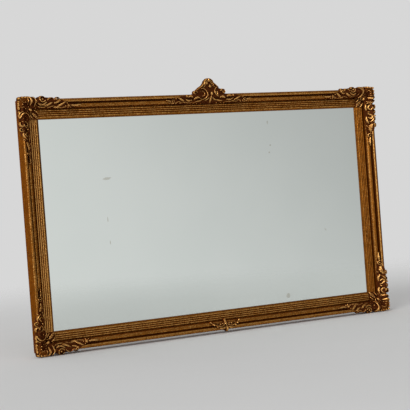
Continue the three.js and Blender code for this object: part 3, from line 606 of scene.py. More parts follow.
class Casting:
    """A cast ornament as rises over its plan: x along the moulding, y in from its outer edge."""

    def __init__(self, low, high, inset_of=lambda x, y: y):
        counts = [round((b - a) / CELL) + 1 for a, b in zip(low, high)]
        lines = [np.linspace(a, b, n) for a, b, n in zip(low, high, counts)]
        self.inset_of = inset_of
        self.x, self.y = np.meshgrid(*lines, indexing="xy")
        self.inset = inset_of(self.x, self.y)
        self.seat = seat_rise(self.inset)
        self.base = ground_rise(self.inset)
        self.skin = np.minimum(self.base, np.where(self.inset < 0, WING_SKIN, self.seat + SKIN))
        self.top = self.skin.copy()
        self.cover = np.full(self.x.shape, -99.0)
        self.cut = np.zeros(self.x.shape)
        # Shine marks where beads and ribs carry a painted highlight.
        self.shine = np.zeros(self.x.shape)

    def nearest(self, path):
        """Distance to a path, positive on its left, and the share of its length at the nearest place."""
        steps = np.hypot(*np.diff(path, axis=0).T)
        reached = np.concatenate([[0], np.cumsum(steps)]) / steps.sum()
        best = np.full(self.x.shape, 1e9)
        side, share = np.ones(self.x.shape), np.zeros(self.x.shape)
        for i, (a, b) in enumerate(zip(path[:-1], path[1:])):
            dx, dy = b - a
            t = np.clip(((self.x - a[0]) * dx + (self.y - a[1]) * dy) / (dx * dx + dy * dy + 1e-9), 0, 1)
            ex, ey = self.x - a[0] - t * dx, self.y - a[1] - t * dy
            distance = np.hypot(ex, ey)
            closer = distance < best
            best = np.where(closer, distance, best)
            side = np.where(closer, np.sign(dx * ey - dy * ex), side)
            share = np.where(closer, reached[i] + t * (reached[i + 1] - reached[i]), share)
        return best, side, share

    def raise_to(self, inside, rise, depth):
        self.top = np.where(inside, np.maximum(self.top, rise), self.top)
        self.cover = np.maximum(self.cover, depth)

    def stroke(self, path, half, crown, lift=2.0, profile=rib, shine=0.0):
        """A stroke of relief along a path; half width and crown are functions of the share of its length."""
        distance, side, share = self.nearest(path)
        width = np.maximum(half(share), 0.3)
        s = np.clip(side * distance / width, -1.5, 1.5)
        inside = np.abs(s) < 1
        body = self.base + lift - self.skin + crown(share) * profile(s, share)
        self.raise_to(inside, self.skin + body * edge_of(s), width - distance)
        if shine:
            self.shine = np.maximum(self.shine, shine * np.sqrt(np.clip(1 - s**2, 0, 1)))

    def stem(self, points, thick, thin, lift=2.0, crown=None, shine=0.0):
        path = spline(points)
        swell = lambda t: thin + (thick - thin) * np.sin(math.pi * t)
        self.stroke(path, swell, (lambda t: crown * swell(t) / thick) if crown else swell, lift, shine=shine)

    def scroll(self, centre, start, end, outer, inner, thick, lift=3.0, crown=None):
        path = spiral(centre, start, end, outer, inner)
        width = lambda t: thick * (0.5 + 0.5 * np.sin(math.pi * (0.12 + 0.83 * t)))
        self.stroke(path, width, lambda t: (crown or thick) * (0.75 + 0.25 * np.sin(math.pi * t)), lift)

    def leaf(self, points, half, lift=2.0, lobes=3, crown=None, shine=0.0):
        """An acanthus leaf: lobed at its sides, widest below its middle, ending in a point."""
        path = spline(points)
        lobed = lambda t: 0.74 + 0.26 * np.abs(np.sin(math.pi * lobes * t)) ** 0.7
        width = lambda t: half * np.sin(math.pi * (0.1 + 0.88 * t)) ** 0.75 * lobed(t)
        rise = lambda t: 0.8 + (crown or half * 0.6) * np.sin(math.pi * (0.08 + 0.86 * t))
        self.stroke(path, width, rise, lift, veined(lobes), shine)

    def bead(self, centre, radius, lift=2.0, long=1.0, turn=0.0, crown=None, shine=0.25):
        reach = self.reach_from(centre, long, turn)
        dome = np.sqrt(np.clip(1 - (reach / radius) ** 2, 0, 1))
        level = self.base_at(centre) + lift
        rise = np.where(reach < radius, level + (crown or radius) * dome, -99)
        foot = self.skin + (np.maximum(rise, self.skin) - self.skin) * edge_of(reach / radius, 10)
        self.raise_to(reach < radius, foot, radius - reach)
        self.shine = np.maximum(self.shine, shine * dome)

    def reach_from(self, centre, long, turn):
        """Distance from a centre, measured in an oval drawn out along one turned axis."""
        c, s = math.cos(math.radians(turn)), math.sin(math.radians(turn))
        dx, dy = self.x - centre[0], self.y - centre[1]
        return np.hypot((dx * c + dy * s) / long, dy * c - dx * s)

    def base_at(self, place):
        return float(ground_rise(self.inset_of(*map(np.array, place))))

    def shell(self, hub, start, end, near, far, flutes, crown, lift=2.0, scallop=0.08):
        """Flutes fanned out from a hub, scalloped at their outer ends."""
        dx, dy = self.x - hub[0], self.y - hub[1]
        reach = np.hypot(dx, dy)
        middle = (start + end) / 2
        angle = (np.degrees(np.arctan2(dy, dx)) - middle + 180) % 360 - 180 + middle
        turn = (angle - start) / (end - start)
        phase = np.abs(np.sin(math.pi * flutes * np.clip(turn, 0, 1)))
        rim = far * (1 - scallop + scallop * phase**0.6)
        inside = (turn > 0) & (turn < 1) & (reach < rim) & (reach > near)
        out = np.clip((reach - near) / (rim - near), 0, 1)
        dish = 0.35 + 0.65 * out**1.3
        rise = self.base + lift + crown * (phase**0.55 * dish)
        sides = np.minimum(turn, 1 - turn) * math.radians(end - start) * reach
        depth = np.minimum(np.minimum(rim - reach, reach - near), sides)
        steep = np.clip(depth / 1.6, 0, 1) ** 0.5
        self.raise_to(inside, self.skin + (rise - self.skin) * steep, depth)

    def flower(self, centre, radius, petals=5, lift=2.0, crown=3.0, turn=0.0):
        dx, dy = self.x - centre[0], self.y - centre[1]
        reach = np.hypot(dx, dy)
        angle = np.arctan2(dy, dx) - math.radians(turn)
        wave = np.abs(np.cos(petals * angle / 2))
        rim = radius * (0.7 + 0.3 * wave**0.7)
        out = reach / rim
        cup = np.sin(math.pi * np.clip(out, 0, 1) ** 0.8 * 0.94) * (0.55 + 0.45 * wave**0.6)
        rise = np.maximum(self.base_at(centre) + lift + crown * cup, self.skin)
        self.raise_to(out < 1, self.skin + (rise - self.skin) * edge_of(out, 8), rim - reach)
        self.bead(centre, radius * 0.3, lift + 0.5, crown=crown * 0.9)

    def ground(self, outline):
        """A plate of ground under the carving, inside an outline."""
        outline = np.array(outline, float)
        distance = np.full(self.x.shape, 1e9)
        inside = np.zeros(self.x.shape, bool)
        for a, b in zip(outline, np.roll(outline, -1, axis=0)):
            dx, dy = b - a
            t = np.clip(((self.x - a[0]) * dx + (self.y - a[1]) * dy) / (dx * dx + dy * dy), 0, 1)
            distance = np.minimum(distance, np.hypot(self.x - a[0] - t * dx, self.y - a[1] - t * dy))
            crosses = (a[1] > self.y) != (b[1] > self.y)
            inside ^= crosses & (self.x < a[0] + (self.y - a[1]) * dx / (dy if abs(dy) > 1e-9 else 1e-9))
        self.raise_to(inside, self.skin, np.where(inside, distance, -distance))

    def pit(self, centre, radius, depth, long=1.0, turn=0.0):
        reach = self.reach_from(centre, long, turn) / radius
        self.cut = np.maximum(self.cut, depth * np.exp(-(reach**4)))

    def keep(self, low, high):
        """Trims the plan to a straight-sided zone, where the next casting begins."""
        depth = np.minimum.reduce([self.x - low[0], high[0] - self.x, self.y - low[1], high[1] - self.y])
        self.cover = np.minimum(self.cover, depth)

    def cast(self, name, place, seed):
        """The finished piece: pressed from a grid, trimmed to the outline and backed onto its seat."""
        top = blurred(self.top, 0.45) - self.cut
        top += 0.1 * self.grain(seed)
        share = np.clip(self.cover / EDGE_ROUND, 0, 1)
        rounded = np.sqrt(1 - (1 - share) ** 2)
        rise = self.seat + np.maximum(EDGE_LEAST, (top - self.seat) * rounded)
        # Painted highlight on crests and on the shine marks; painted shade in the hollows and on the low
        # ground between the carving.
        proud = np.clip(np.maximum((rise - blurred(rise, 4)) / 2.3, self.shine), 0, 1)
        deep = np.clip((blurred(rise, 5.0) - rise) / 2.6, 0, 1)
        floor = np.clip(1 - (top - self.skin) / 1.6, 0, 1)
        painted_shade = np.clip(0.75 * floor + deep, 0, 1)

        kept = self.cover > -0.5 * CELL
        slope_y, slope_x = np.gradient(self.cover, CELL)
        steep = np.maximum(slope_x**2 + slope_y**2, 0.25)
        near = kept & (np.abs(self.cover) < CELL) & ~eroded(kept)
        x = self.x - np.where(near, self.cover * slope_x / steep, 0)
        y = self.y - np.where(near, self.cover * slope_y / steep, 0)
        seat = seat_rise(self.inset_of(x, y))
        rise = np.where(near, seat + EDGE_LEAST, rise)

        rows, columns = self.x.shape
        bpy.ops.mesh.primitive_grid_add(x_subdivisions=columns - 1, y_subdivisions=rows - 1, size=1)
        piece = bpy.context.active_object
        set_corners(piece, place(x.ravel(), y.ravel(), rise.ravel()) * MM)
        paint(piece, "painted_shade", painted_shade.ravel())
        paint(piece, "wear_and_highlight", proud.ravel())
        paint(piece, "seat", seat.ravel())
        choose(piece, ~kept.ravel())
        edit(piece, lambda: bpy.ops.mesh.delete(type="VERT"))
        choose(piece, np.zeros(len(piece.data.vertices), bool))
        edit_all(piece, lambda: bpy.ops.mesh.extrude_region_move())
        backed = np.empty(len(piece.data.vertices), bool)
        piece.data.vertices.foreach_get("select", backed)
        places = corners(piece)
        seats = np.empty(len(places), np.float32)
        piece.data.attributes["seat"].data.foreach_get("value", seats)
        places[backed, 1] = (BACK_Y - seats[backed]) * MM
        set_corners(piece, places)
        piece.data.attributes.remove(piece.data.attributes["seat"])
        recalculate(piece)
        only(piece)
        bpy.ops.object.shade_smooth_by_angle(angle=math.radians(60))
        dress(piece, name + "_cast", "frame", "gilt_composition", cast_gold, stands_for=[name])

    def grain(self, seed):
        rng = np.random.default_rng(seed)
        field = sum(blurred(rng.standard_normal(self.x.shape), reach) * reach for reach in (0.9, 2.2))
        return field / field.std() * 0.5


def eroded(mask):
    inner = mask.copy()
    inner[1:, :] &= mask[:-1, :]
    inner[:-1, :] &= mask[1:, :]
    inner[:, 1:] &= mask[:, :-1]
    inner[:, :-1] &= mask[:, 1:]
    return inner


def corner_place(right, up, swapped=False):
    """Plan places run in from both outer edges at a corner, and are swapped to lay the scroll on the rail."""
    def place(x, y, rise):
        along, down = (y, x) if swapped else (x, y)
        return np.column_stack([right * (HALF_WIDTH - along), BACK_Y - rise, up * (HALF_HEIGHT - down)])
    return place


def middle_place(up):
    def place(x, y, rise):
        return np.column_stack([x, BACK_Y - rise, up * (HALF_HEIGHT - y)])
    return place


# Where each casting ends along its moulding, and how many squares its drawing is long.
CORNER_RIB_REACH = 61
CORNER_SCROLL_REACH = 77
CORNER_ARM_WIDTH = 39
SPRAY_SQUARES = 170
CREST_SPRAY_SQUARES = 114
RAIL_SPRAY_END = 236
STILE_SPRAY_END = 232
SPRAY_SEAM = 1.2
CREST_HEIGHT = 62
CREST_HALF_WIDTH = 70
CREST_SPRAY_END = 184
BASE_HALF_WIDTH = 66
BASE_DROP = 8


def corner_cast(name, right, up, scroll_on_rail, seed):
    """Ribs over one arm, a C-scroll over the other, rocaille in the corner and a leaf to the sight edge."""
    ribs, scroll, arm = CORNER_RIB_REACH, CORNER_SCROLL_REACH, CORNER_ARM_WIDTH
    sight, out = MOULDING_WIDTH, -WING_REACH
    piece = Casting((-15, -15), (74, 80), np.minimum)
    piece.ground([
        (out + 1.5, out + 10), (out + 4, out + 4), (out + 10, out + 1.5), (20, out + 1.5),
        (ribs - 8, out + 2), (ribs - 2, out + 7), (ribs, 28), (ribs - 12, 36), (sight, 50), (sight, sight),
        (50, sight), (36, ribs - 6), (30, scroll), (out + 6, scroll), (out + 1.5, ribs), (out + 1.5, 20),
    ])
    piece.shell((26, 27), 170, 280, 20, 41, 9, 2.6, 0.6, 0.14)
    for turn in range(10, 370, 45):
        c, s = math.cos(math.radians(turn)), math.sin(math.radians(turn))
        along, across = 14.5 * c, 9.0 * s
        piece.bead((19 + (along - across) * 0.707, 22 + (along + across) * 0.707), 2.5, 2.2)
    piece.pit((19, 22), 7.0, 3.6, 1.5, 45)
    pearls = [
        (-6, 8, 4.2), (-7, 20, 4.4), (-7, 33, 4.2), (-7, 45, 4), (8, -7, 4.8), (20, -7, 4.2), (-4, -4, 5),
    ]
    for x, y, radius in pearls:
        piece.bead((x, y), radius, 1.6)
    piece.stem([(33, -8), (39, 3), (36, 21)], 5.4, 3.2, 4, crown=6, shine=1)
    piece.stem([(46, -8), (55, 6), (51, 27)], 3.0, 1.8, 4, crown=4.2)
    piece.stem([(25, -7), (29, 3), (27, 13)], 2.4, 1.5, 2.5)
    piece.leaf([(58, 26), (57, 14), (59, 4)], 3.6, 1.5, 2)
    piece.scroll((15, 68), 188, 374, 20.5, 19.5, 3.8, 4.8, 5)
    piece.scroll((15, 72), 200, 350, 10.5, 10, 1.5, 0.4, 1.4)
    piece.pit((15, 64), 8.0, 1.4, 1.2)
    piece.stem([(-8, 66), (-9, 56), (-3, 47), (6, 42)], 2.6, 1.6, 2.2)
    piece.stem([(24, 38), (30, 46), (40, 47), (45, 39)], 2.1, 1.3, 2.4)
    piece.bead((38, 36), 6.6, 5, 1.4, 30, crown=7, shine=1)
    piece.leaf([(45, 47), (56, 57), (sight - 1, sight - 1)], 6.6, 0.2, 4)
    piece.leaf([(37, 52), (42, 61), (51, sight - 1)], 4.0, 0.5, 3)
    piece.leaf([(52, 37), (61, 42), (sight - 1, 51)], 4.0, 0.5, 3)
    piece.bead((33, 58), 2.6, 2)
    piece.bead((58, 33), 2.6, 2)
    piece.cover = np.minimum(piece.cover, np.maximum(ribs - piece.x, piece.y - arm))
    piece.cover = np.minimum(piece.cover, np.maximum(scroll - piece.y, piece.x - arm))
    piece.keep((out, out), (sight, max(sight, scroll)))
    piece.cover = np.minimum(piece.cover, np.maximum(sight - piece.y, arm - piece.x))
    piece.cast(name, corner_place(right, up, scroll_on_rail), seed)


def rail_spray(name, right, up, root, seed):
    stretch = (RAIL_SPRAY_END - root) / SPRAY_SQUARES
    place = corner_place(right, up)
    piece = Casting((0, -14), (174, 40))
    piece.ground([
        (0, -6), (8, -9), (34, -7), (52, -4), (66, 1), (84, 2), (104, 13), (134, 18), (160, 21), (160, 26),
        (130, 34), (96, 35), (50, 32), (0, 33),
    ])
    piece.scroll((19, 0), 30, 345, 11.5, 9.5, 2.6, 3, 3.4)
    piece.bead((18, 1), 4.0, 2.5)
    piece.leaf([(2, 15), (10, 20), (22, 20), (35, 11)], 5.0, 3, 2, shine=0.5)
    piece.leaf([(24, 24), (38, 22), (56, 12)], 5.2, 3.2, 2, shine=0.7)
    piece.stem([(0, 24), (12, 28), (26, 29), (38, 26)], 2.2, 1.2, 2)
    piece.stem([(36, 5), (45, -2), (56, -3), (64, 4)], 2.8, 1.5, 3)
    piece.scroll((75, 2), 150, 480, 7.2, 5.8, 2.1, 2.6)
    piece.bead((75, 2), 3.0, 2.4)
    piece.leaf([(60, 16), (72, 14), (86, 6)], 3.8, 3, 3)
    piece.leaf([(74, 30), (88, 22), (106, 11)], 5.0, 3, 5, shine=0.6)
    piece.leaf([(62, 31), (76, 32), (90, 31)], 3.2, 2, 3)
    for x, y, radius in ((110, 17, 3.2), (116, 33, 3.0), (107, 27, 2.6), (126, 31, 2.6)):
        piece.bead((x, y), radius, 2.2)
    piece.flower((117, 24), 7.4, 5, 2.2, 3.2)
    piece.leaf([(126, 24), (144, 26), (171, 22)], 4.8, 2.4, 5)
    piece.stem([(40, 31), (60, 26), (84, 33), (108, 30)], 1.6, 1.1, 1.6)
    piece.keep((0, -WING_REACH), (SPRAY_SQUARES, 38))
    spread = lambda x, y, rise: place(root + x * stretch, y, rise)
    piece.cast(name, spread, seed)


def stile_spray(name, right, up, root, seed):
    stretch = (STILE_SPRAY_END - root) / SPRAY_SQUARES
    place = corner_place(right, up)
    piece = Casting((0, -14), (174, 40))
    wing = [(34, -7), (54, 0), (66, 2), (84, 7)]
    if right > 0:
        wing = [(34, -9), (56, -9), (90, -8), (98, -4), (106, 6)]
    piece.ground([(0, -8), (16, -10), *wing, (112, 13), (160, 19), (160, 26), (126, 31), (60, 33), (0, 34)])
    piece.stem([(0, -5), (8, -8), (16, -5), (18, 3), (11, 7)], 3.6, 2.2, 3, shine=0.6)
    piece.stem([(0, 13), (7, 21), (16, 22), (22, 14), (16, 9)], 3.6, 2.2, 3, shine=0.6)
    piece.leaf([(0, 28), (12, 31), (26, 27)], 3.6, 2.4, 3)
    piece.bead((31, 21), 4.2, 3.2)
    piece.scroll((32, -1), 170, 420, 8.0, 6.0, 2.3, 2.6)
    piece.bead((32, -1), 3.0, 2.4)
    piece.stem([(38, 24), (44, 14), (52, 10), (58, 17), (52, 23)], 3.8, 2.0, 3, shine=0.5)
    piece.stem([(44, 2), (54, 2), (64, 9), (72, 17)], 3.4, 1.8, 2.6, shine=0.4)
    piece.leaf([(50, 29), (64, 29), (80, 22)], 3.8, 2.4, 4)
    piece.bead((70, 3), 3.6, 2.6)
    # The left-hand leaf carries a stronger painted highlight than the right-hand one.
    piece.leaf([(80, 13), (96, 20), (114, 19)], 7.6, 3.2, 5, crown=5, shine=0.6 if right < 0 else 0.1)
    piece.bead((88, 29), 2.6, 2)
    piece.scroll((126, 20), -20, 330, 8.0, 7.4, 2.0, 2.4)
    piece.bead((126, 20), 3.2, 1.6)
    piece.leaf([(135, 21), (150, 24), (171, 22)], 4.4, 2.4, 5)
    if right > 0:
        piece.bead((47, -4), 4.4, 2.4)
        piece.scroll((60, -2), 60, 330, 6.6, 5.4, 2.0, 2.4)
        piece.scroll((86, 0), 100, 430, 8.0, 6.6, 2.4, 3)
        piece.bead((86, 0), 3.6, 2.6)
    piece.keep((0, -WING_REACH), (SPRAY_SQUARES, 38))
    spread = lambda x, y, rise: place(y, root + x * stretch, rise)
    piece.cast(name, spread, seed)


def crest_cast(seed):
    """A hooded shell over two C-scrolls, a tall bead between them and a volute at each shoulder."""
    half, top = CREST_HALF_WIDTH, -CREST_HEIGHT
    piece = Casting((-half - 1, top - 2), (half + 1, 42))
    piece.ground([
        (-half, 28), (-half, -2), (-60, -10), (-50, -18), (-35, -28), (-24, -40), (-19, -50), (-10, -58),
        (0, top + 2), (11, -59), (19, -52), (23, -44), (32, -37), (46, -23), (58, -18), (half, -8),
        (half, 28), (half - 30, 33), (4, 38), (30 - half, 33),
    ])
    for reach, thick in ((19.2, 2.5), (13.8, 2.2), (8.8, 2.0)):
        piece.scroll((1, -39.5), 160, 380, reach, reach, thick, 3.2)
    piece.leaf([(1, -46), (1, -53), (1, -61)], 4.6, 4, 2)
    piece.flower((4, -29), 7.4, 5, 3, 3.6, 90)
    piece.stem([(-21, -40), (-29, -31), (-42, -23), (-56, -13)], 2.8, 1.7, 2.4)
    piece.stem([(-14, -34), (-22, -26), (-34, -18)], 2.0, 1.3, 2.0)
    piece.stem([(23, -42), (32, -33), (42, -25)], 2.8, 1.8, 2.4)
    piece.stem([(15, -33), (24, -27), (31, -20)], 2.0, 1.3, 2.0)
    piece.scroll((-31, 0), 262, 480, 21.5, 19.5, 2.8, 4, 3.6)
    piece.scroll((-32, 0), 250, 440, 12.5, 8, 1.9, 1.6)
    piece.scroll((40, -8), 250, 100, 18.5, 18.5, 2.8, 4, 3.6)
    piece.leaf([(30, 8), (33, 0), (32, -12)], 3.6, 2, 3)
    piece.scroll((59, -8), 190, 520, 10.8, 4.6, 2.9, 3.4, 3.4)
    piece.bead((60, -8), 3.0, 3)
    piece.scroll((-60, -5), -10, -250, 8.2, 4.2, 2.5, 3)
    piece.leaf([(-42, 14), (-56, 13), (-69, 21)], 4.6, 3.4, 4, shine=0.5)
    piece.leaf([(-24, 22), (-42, 25), (-60, 28)], 3.4, 2.2, 4)
    piece.leaf([(44, 13), (56, 12), (69, 18)], 4.6, 3.4, 4)
    piece.leaf([(28, 22), (44, 25), (60, 27)], 3.4, 2.2, 4)
    piece.bead((6, -1), 6.2, 5, 1.25, 90, crown=6.8, shine=1)
    piece.leaf([(5, 9), (4, 20), (4, 35)], 5.6, 3, 4)
    piece.leaf([(0, 13), (-10, 20), (-22, 24)], 3.4, 2.4, 3)
    piece.leaf([(10, 13), (20, 20), (32, 24)], 3.4, 2.4, 3)
    for x, y in ((-66, 33), (-50, 34), (-32, 34), (34, 34), (52, 33), (66, 33)):
        piece.bead((x, y), 2.5, 2)
    piece.keep((-half, top), (half, 38))
    piece.cast("crest_cartouche", middle_place(1), seed)


def crest_spray(name, side, seed):
    root = CREST_HALF_WIDTH + SPRAY_SEAM
    stretch = (CREST_SPRAY_END - root) / CREST_SPRAY_SQUARES
    piece = Casting((0, 0), (118, 40))
    piece.ground([(0, 3), (36, 3), (70, 13), (108, 17), (108, 22), (84, 33), (20, 36), (0, 30)])
    piece.leaf([(0, 12), (12, 7), (24, 12)], 4.0, 3, 3)
    piece.bead((28, 7), 4.4, 3.2)
    piece.leaf([(2, 21), (18, 23), (34, 16)], 4.2, 3, 4)
    piece.stem([(0, 30), (16, 31), (34, 28), (52, 31)], 2.0, 1.2, 2)
    piece.leaf([(36, 24), (48, 19), (64, 11)], 4.6, 3.2, 5)
    piece.stem([(50, 27), (58, 25), (66, 28), (70, 33)], 2.2, 1.3, 2.2)
    piece.bead((72, 14), 3.2, 2.4)
    piece.scroll((84, 25), -10, 330, 7.2, 6.6, 1.9, 2.4)
    piece.bead((84, 25), 2.9, 1.8)
    piece.leaf([(92, 22), (102, 22), (115, 18)], 3.6, 2.2, 3)
    piece.bead((96, 29), 2.4, 1.6)
    piece.keep((0, 0), (CREST_SPRAY_SQUARES, 38))
    place = middle_place(1)
    spread = lambda x, y, rise: place(side * (root + x * stretch), y, rise)
    piece.cast(name, spread, seed)


def base_cast(seed):
    half, drop = BASE_HALF_WIDTH, -BASE_DROP
    piece = Casting((-half - 1, drop - 1), (half + 1, 46))
    piece.ground([
        (-half, 29), (-46, 12), (-12, 2), (-6, drop / 2), (0, drop + 1), (6, drop / 2), (12, 2), (46, 12),
        (half, 29), (half - 6, 35), (34, 23), (10, 30), (0, 41), (-10, 30), (-34, 23), (6 - half, 35),
    ])
    for side in (-1, 1):
        arm = [(side * 5, 21), (side * 18, 15), (side * 36, 17), (side * (half - 8), 28)]
        piece.stem(arm, 3.4, 2.2, 2.4, shine=0.4)
        piece.leaf([(side * 6, 12), (side * 18, 7), (side * 33, 9)], 4.8, 3, 2, shine=0.6)
        piece.leaf([(side * 30, 22), (side * 42, 25), (side * (half - 6), 22)], 3.0, 2.2, 3)
        for x, y, radius in ((61, 31, 4.6), (50, 20, 4.2), (40, 13, 4.2), (24, 22, 4.4), (14, 23, 3.6)):
            piece.bead((side * x, y), radius, 2.8, shine=0.7)
    piece.leaf([(0, 18), (0, 29), (0, 43)], 6.2, 3.6, 2, shine=0.6)
    piece.leaf([(0, 16), (0, 5), (0, drop)], 5.6, 3.2, 3)
    piece.bead((0, 2), 4.2, 4)
    piece.keep((-half, drop), (half, 44))
    piece.cast("base_ornament", middle_place(-1), seed)


def mount_ornament():
    seed = 1
    crest_cast(seed)
    base_cast(seed + 1)
    for hand, right, scroll_on_rail in (("left", -1, False), ("right", 1, True)):
        on_ribs, on_scroll = CORNER_RIB_REACH + SPRAY_SEAM, CORNER_SCROLL_REACH + SPRAY_SEAM
        rail_root, stile_root = (on_scroll, on_ribs) if scroll_on_rail else (on_ribs, on_scroll)
        for level, up in (("top", 1), ("bottom", -1)):
            seed += 3
            corner_cast(f"corner_{level}_{hand}", right, up, scroll_on_rail, seed)
            rail_spray(f"rail_spray_{level}_{hand}", right, up, rail_root, seed + 1)
            stile_spray(f"stile_spray_{level}_{hand}", right, up, stile_root, seed + 2)
        crest_spray(f"crest_spray_{hand}", right, seed + 20)


# ---------------------------------------------------------------- the back


# Screws, by the radius of their heads; a head's slot is wide by a share of it and cut half its depth.
PLANK_SCREW = 3.8
STRAP_SCREW = 2.1
HEAD_THICKNESS = 1.4
SLOT_CUT = 1.2
SLOT_SHARE = 0.3
SINK_DEPTH = 2.7
SINK_OVERSHOOT = 0.3
SINK_FLARE = 0.9
PLANK_SCREW_SUNK = 0.4
STRAP_SCREW_RISES = (13, 31)
STRAP_SCREW_FACE = 1.4

# The planks lap the frame; their screws run along the middle of the lap.
LAP_MIDDLE = MOULDING_WIDTH - REBATE_WIDTH - 8
END_SCREW_PLACES = (-430, 0, 430)
PLANK_ARRIS = 1.3


def without(piece, cutter):
    """Cuts a solid out of a piece and clears it away."""
    modify(piece, "BOOLEAN", object=cutter, operation="DIFFERENCE", solver="EXACT")
    only(cutter)
    bpy.ops.object.delete()
    return piece


def joined(pieces):
    deselect()
    for piece in pieces:
        piece.select_set(True)
    bpy.context.view_layer.objects.active = pieces[0]
    bpy.ops.object.join()
    return pieces[0]


def screw_head(x, y, z, radius, turn):
    """A flat countersunk head with a driver's slot, its face looking back at depth y."""
    bpy.ops.mesh.primitive_cylinder_add(
        vertices=24, radius=radius * MM, depth=HEAD_THICKNESS * MM,
        location=Vector((x, y - HEAD_THICKNESS / 2, z)) * MM, rotation=(math.pi / 2, 0, 0))
    head = settle(bpy.context.active_object)
    bpy.ops.mesh.primitive_cube_add(
        size=MM, location=Vector((x, y, z)) * MM, rotation=(0, turn, 0),
        scale=(3 * radius, SLOT_CUT, SLOT_SHARE * radius))
    return without(head, settle(bpy.context.active_object))


def sink(x, z, radius):
    """The cone a screw head beds in, open at the plank's rear face."""
    bpy.ops.mesh.primitive_cone_add(
        vertices=24, radius1=radius * MM, radius2=(radius + SINK_FLARE) * MM,
        depth=(SINK_DEPTH + SINK_OVERSHOOT) * MM,
        location=Vector((x, (SINK_OVERSHOOT - SINK_DEPTH) / 2, z)) * MM, rotation=(-math.pi / 2, 0, 0))
    return settle(bpy.context.active_object)


def board_the_back():
    """Planks with eased arrises, screwed to the frame all round; their screws are sunk below the face."""
    heads = []
    across, up = HALF_WIDTH - LAP_MIDDLE, HALF_HEIGHT - LAP_MIDDLE
    for number in (1, 2, 3):
        name = f"back_plank_{number}"
        low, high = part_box(name)
        middle, half = (low.z + high.z) / 2 / MM, (high.z - low.z) / 2 / MM
        spots = [(side * across, middle + rise * 0.62 * half) for side in (-1, 1) for rise in (-1, 1)]
        if number != 2:
            spots += [(x, up if number == 1 else -up) for x in END_SCREW_PLACES]
        bpy.ops.mesh.primitive_cube_add(size=1, location=(low + high) / 2, scale=high - low)
        piece = settle(bpy.context.active_object)
        modify(piece, "BEVEL", width=PLANK_ARRIS * MM, segments=2)
        without(piece, joined([sink(x, z, PLANK_SCREW) for x, z in spots]))
        only(piece)
        bpy.ops.object.shade_smooth_by_angle(angle=math.radians(35))
        dress(piece, name + "_sawn", "frame", "old_pine", plank_pine, stands_for=[name])
        first_turn = 1.7 * len(heads)
        for i, (x, z) in enumerate(spots):
            heads.append(screw_head(x, -PLANK_SCREW_SUNK, z, PLANK_SCREW, first_turn + i))
    dress(joined(heads), "plank_screws", "frame", "dull_brass", brass)


def screw_the_straps():
    heads = []
    for hand in ("left", "right"):
        low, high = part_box(f"hanger_strap_{hand}")
        x, foot = (low.x + high.x) / 2 / MM, low.z / MM
        face = BACK_Y + SEAT_GAP + STRAP_SCREW_FACE
        heads += [screw_head(x, face, foot + rise, STRAP_SCREW, rise) for rise in STRAP_SCREW_RISES]
    dress(joined(heads), "strap_screws", "frame", "dull_brass", brass)


# ---------------------------------------------------------------- floor, light and camera


KEY_FROM = (-0.8, -0.5, 0.36)
KEY_STRENGTH = 1.2
KEY_SPREAD = 30
STUDIO_LEVEL = 0.68

# Darker parts of the studio: the direction, where the shade begins and is full, and its level.
UPPER_SHADE = ((0.8, -0.3, 0.5), 0.52, 0.85, 0.36)
SIDE_SHADE = ((1, 0.1, 0), 0.68, 0.9, 0.08)


def lay_floor():
    bpy.ops.mesh.primitive_circle_add(vertices=64, radius=FLOOR_RADIUS, fill_type="NGON")
    floor = bpy.context.active_object
    floor.location.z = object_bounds()[0].z - 0.0005
    settle(floor)
    floor.name = "floor"
    floor.data.materials.append(pale_floor())


def grey(level):
    return (level, level, level)


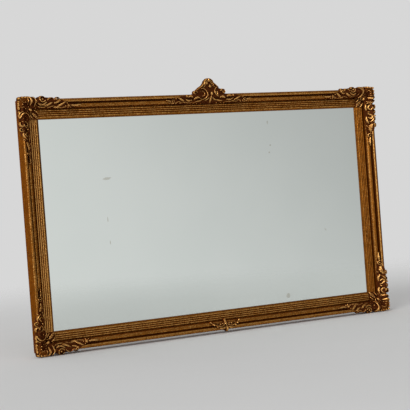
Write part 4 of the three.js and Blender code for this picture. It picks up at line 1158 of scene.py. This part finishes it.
def light_studio():
    """A soft key from the left, in a pale studio that grows darker to its upper right and far right."""
    key = bpy.data.lights.new("soft_key", "SUN")
    key.energy = KEY_STRENGTH
    key.angle = math.radians(KEY_SPREAD)
    holder = bpy.data.objects.new("soft_key", key)
    bpy.context.scene.collection.objects.link(holder)
    holder.rotation_euler = Vector(KEY_FROM).to_track_quat("Z", "Y").to_euler()

    world = bpy.data.worlds.new("pale_studio")
    bpy.context.scene.world = world
    studio = NodeTree(world, "Generated")

    def shaded(under, towards, start, end, level):
        """Darkens the studio to a level in the directions that lean towards one vector."""
        lean = studio.add("ShaderNodeVectorMath", operation="DOT_PRODUCT")
        studio.put(lean.inputs[0], studio.place)
        studio.put(lean.inputs[1], towards)
        return studio.blend(studio.span(lean.outputs["Value"], start, end), under, grey(level))

    room = shaded(shaded(grey(STUDIO_LEVEL), *UPPER_SHADE), *SIDE_SHADE)
    seen = studio.add("ShaderNodeLightPath").outputs["Is Camera Ray"]
    background = studio.nodes["Background"]
    studio.put(background.inputs["Color"], studio.blend(seen, room, grey(STUDIO_LEVEL)))
    studio.put(background.inputs["Strength"], 1.0)


# The photograph's eye point, its right, up and back directions, and its focal length in pixels.
EYE = (-2.0418, -3.9865, 0.0653)
EYE_RIGHT = (0.8891, -0.45163, -0.07428)
EYE_UP = (0.06993, -0.02635, 0.99721)
EYE_BACK = (-0.45233, -0.89182, 0.00815)
FOCAL_PX = 1159.6
FRAME_PX = 410
SENSOR = 36


def place_camera():
    camera = bpy.data.cameras.new("photo_camera")
    camera.sensor_width = SENSOR
    camera.lens = FOCAL_PX * SENSOR / FRAME_PX
    holder = bpy.data.objects.new("photo_camera", camera)
    bpy.context.scene.collection.objects.link(holder)
    turned = Matrix((EYE_RIGHT, EYE_UP, EYE_BACK)).transposed().to_4x4()
    holder.matrix_world = Matrix.Translation(EYE) @ turned
    bpy.context.scene.camera = holder
    bpy.context.scene.view_settings.view_transform = "Standard"


def finish_carried_nodes():
    """Gives the nodes that no finer piece replaces their materials."""
    for name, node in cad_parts.items():
        finish = None
        if name == "mirror_plate":
            finish = plate_silver
        elif name.startswith(("block_top", "block_bottom")):
            finish = plank_pine
        elif name.startswith("block"):
            finish = stile_pine
        elif name.startswith("hanger"):
            finish = brass
        if finish:
            node.data.materials.clear()
            node.data.materials.append(finish)


place_camera()
light_studio()
# The last number lightens or darkens each length's reeds: some real wear, with a painted highlight on the
# left stile and bottom rail and painted shade on the right stile.
moulding("rail_top", 2 * HALF_WIDTH, False, 1, 1, 0.05)
moulding("rail_bottom", 2 * HALF_WIDTH, False, -1, 2, 0.25)
moulding("stile_left", 2 * HALF_HEIGHT, True, -1, 3, 0.6)
moulding("stile_right", 2 * HALF_HEIGHT, True, 1, 4, -0.4)
mount_ornament()
board_the_back()
screw_the_straps()
finish_carried_nodes()
lay_floor()
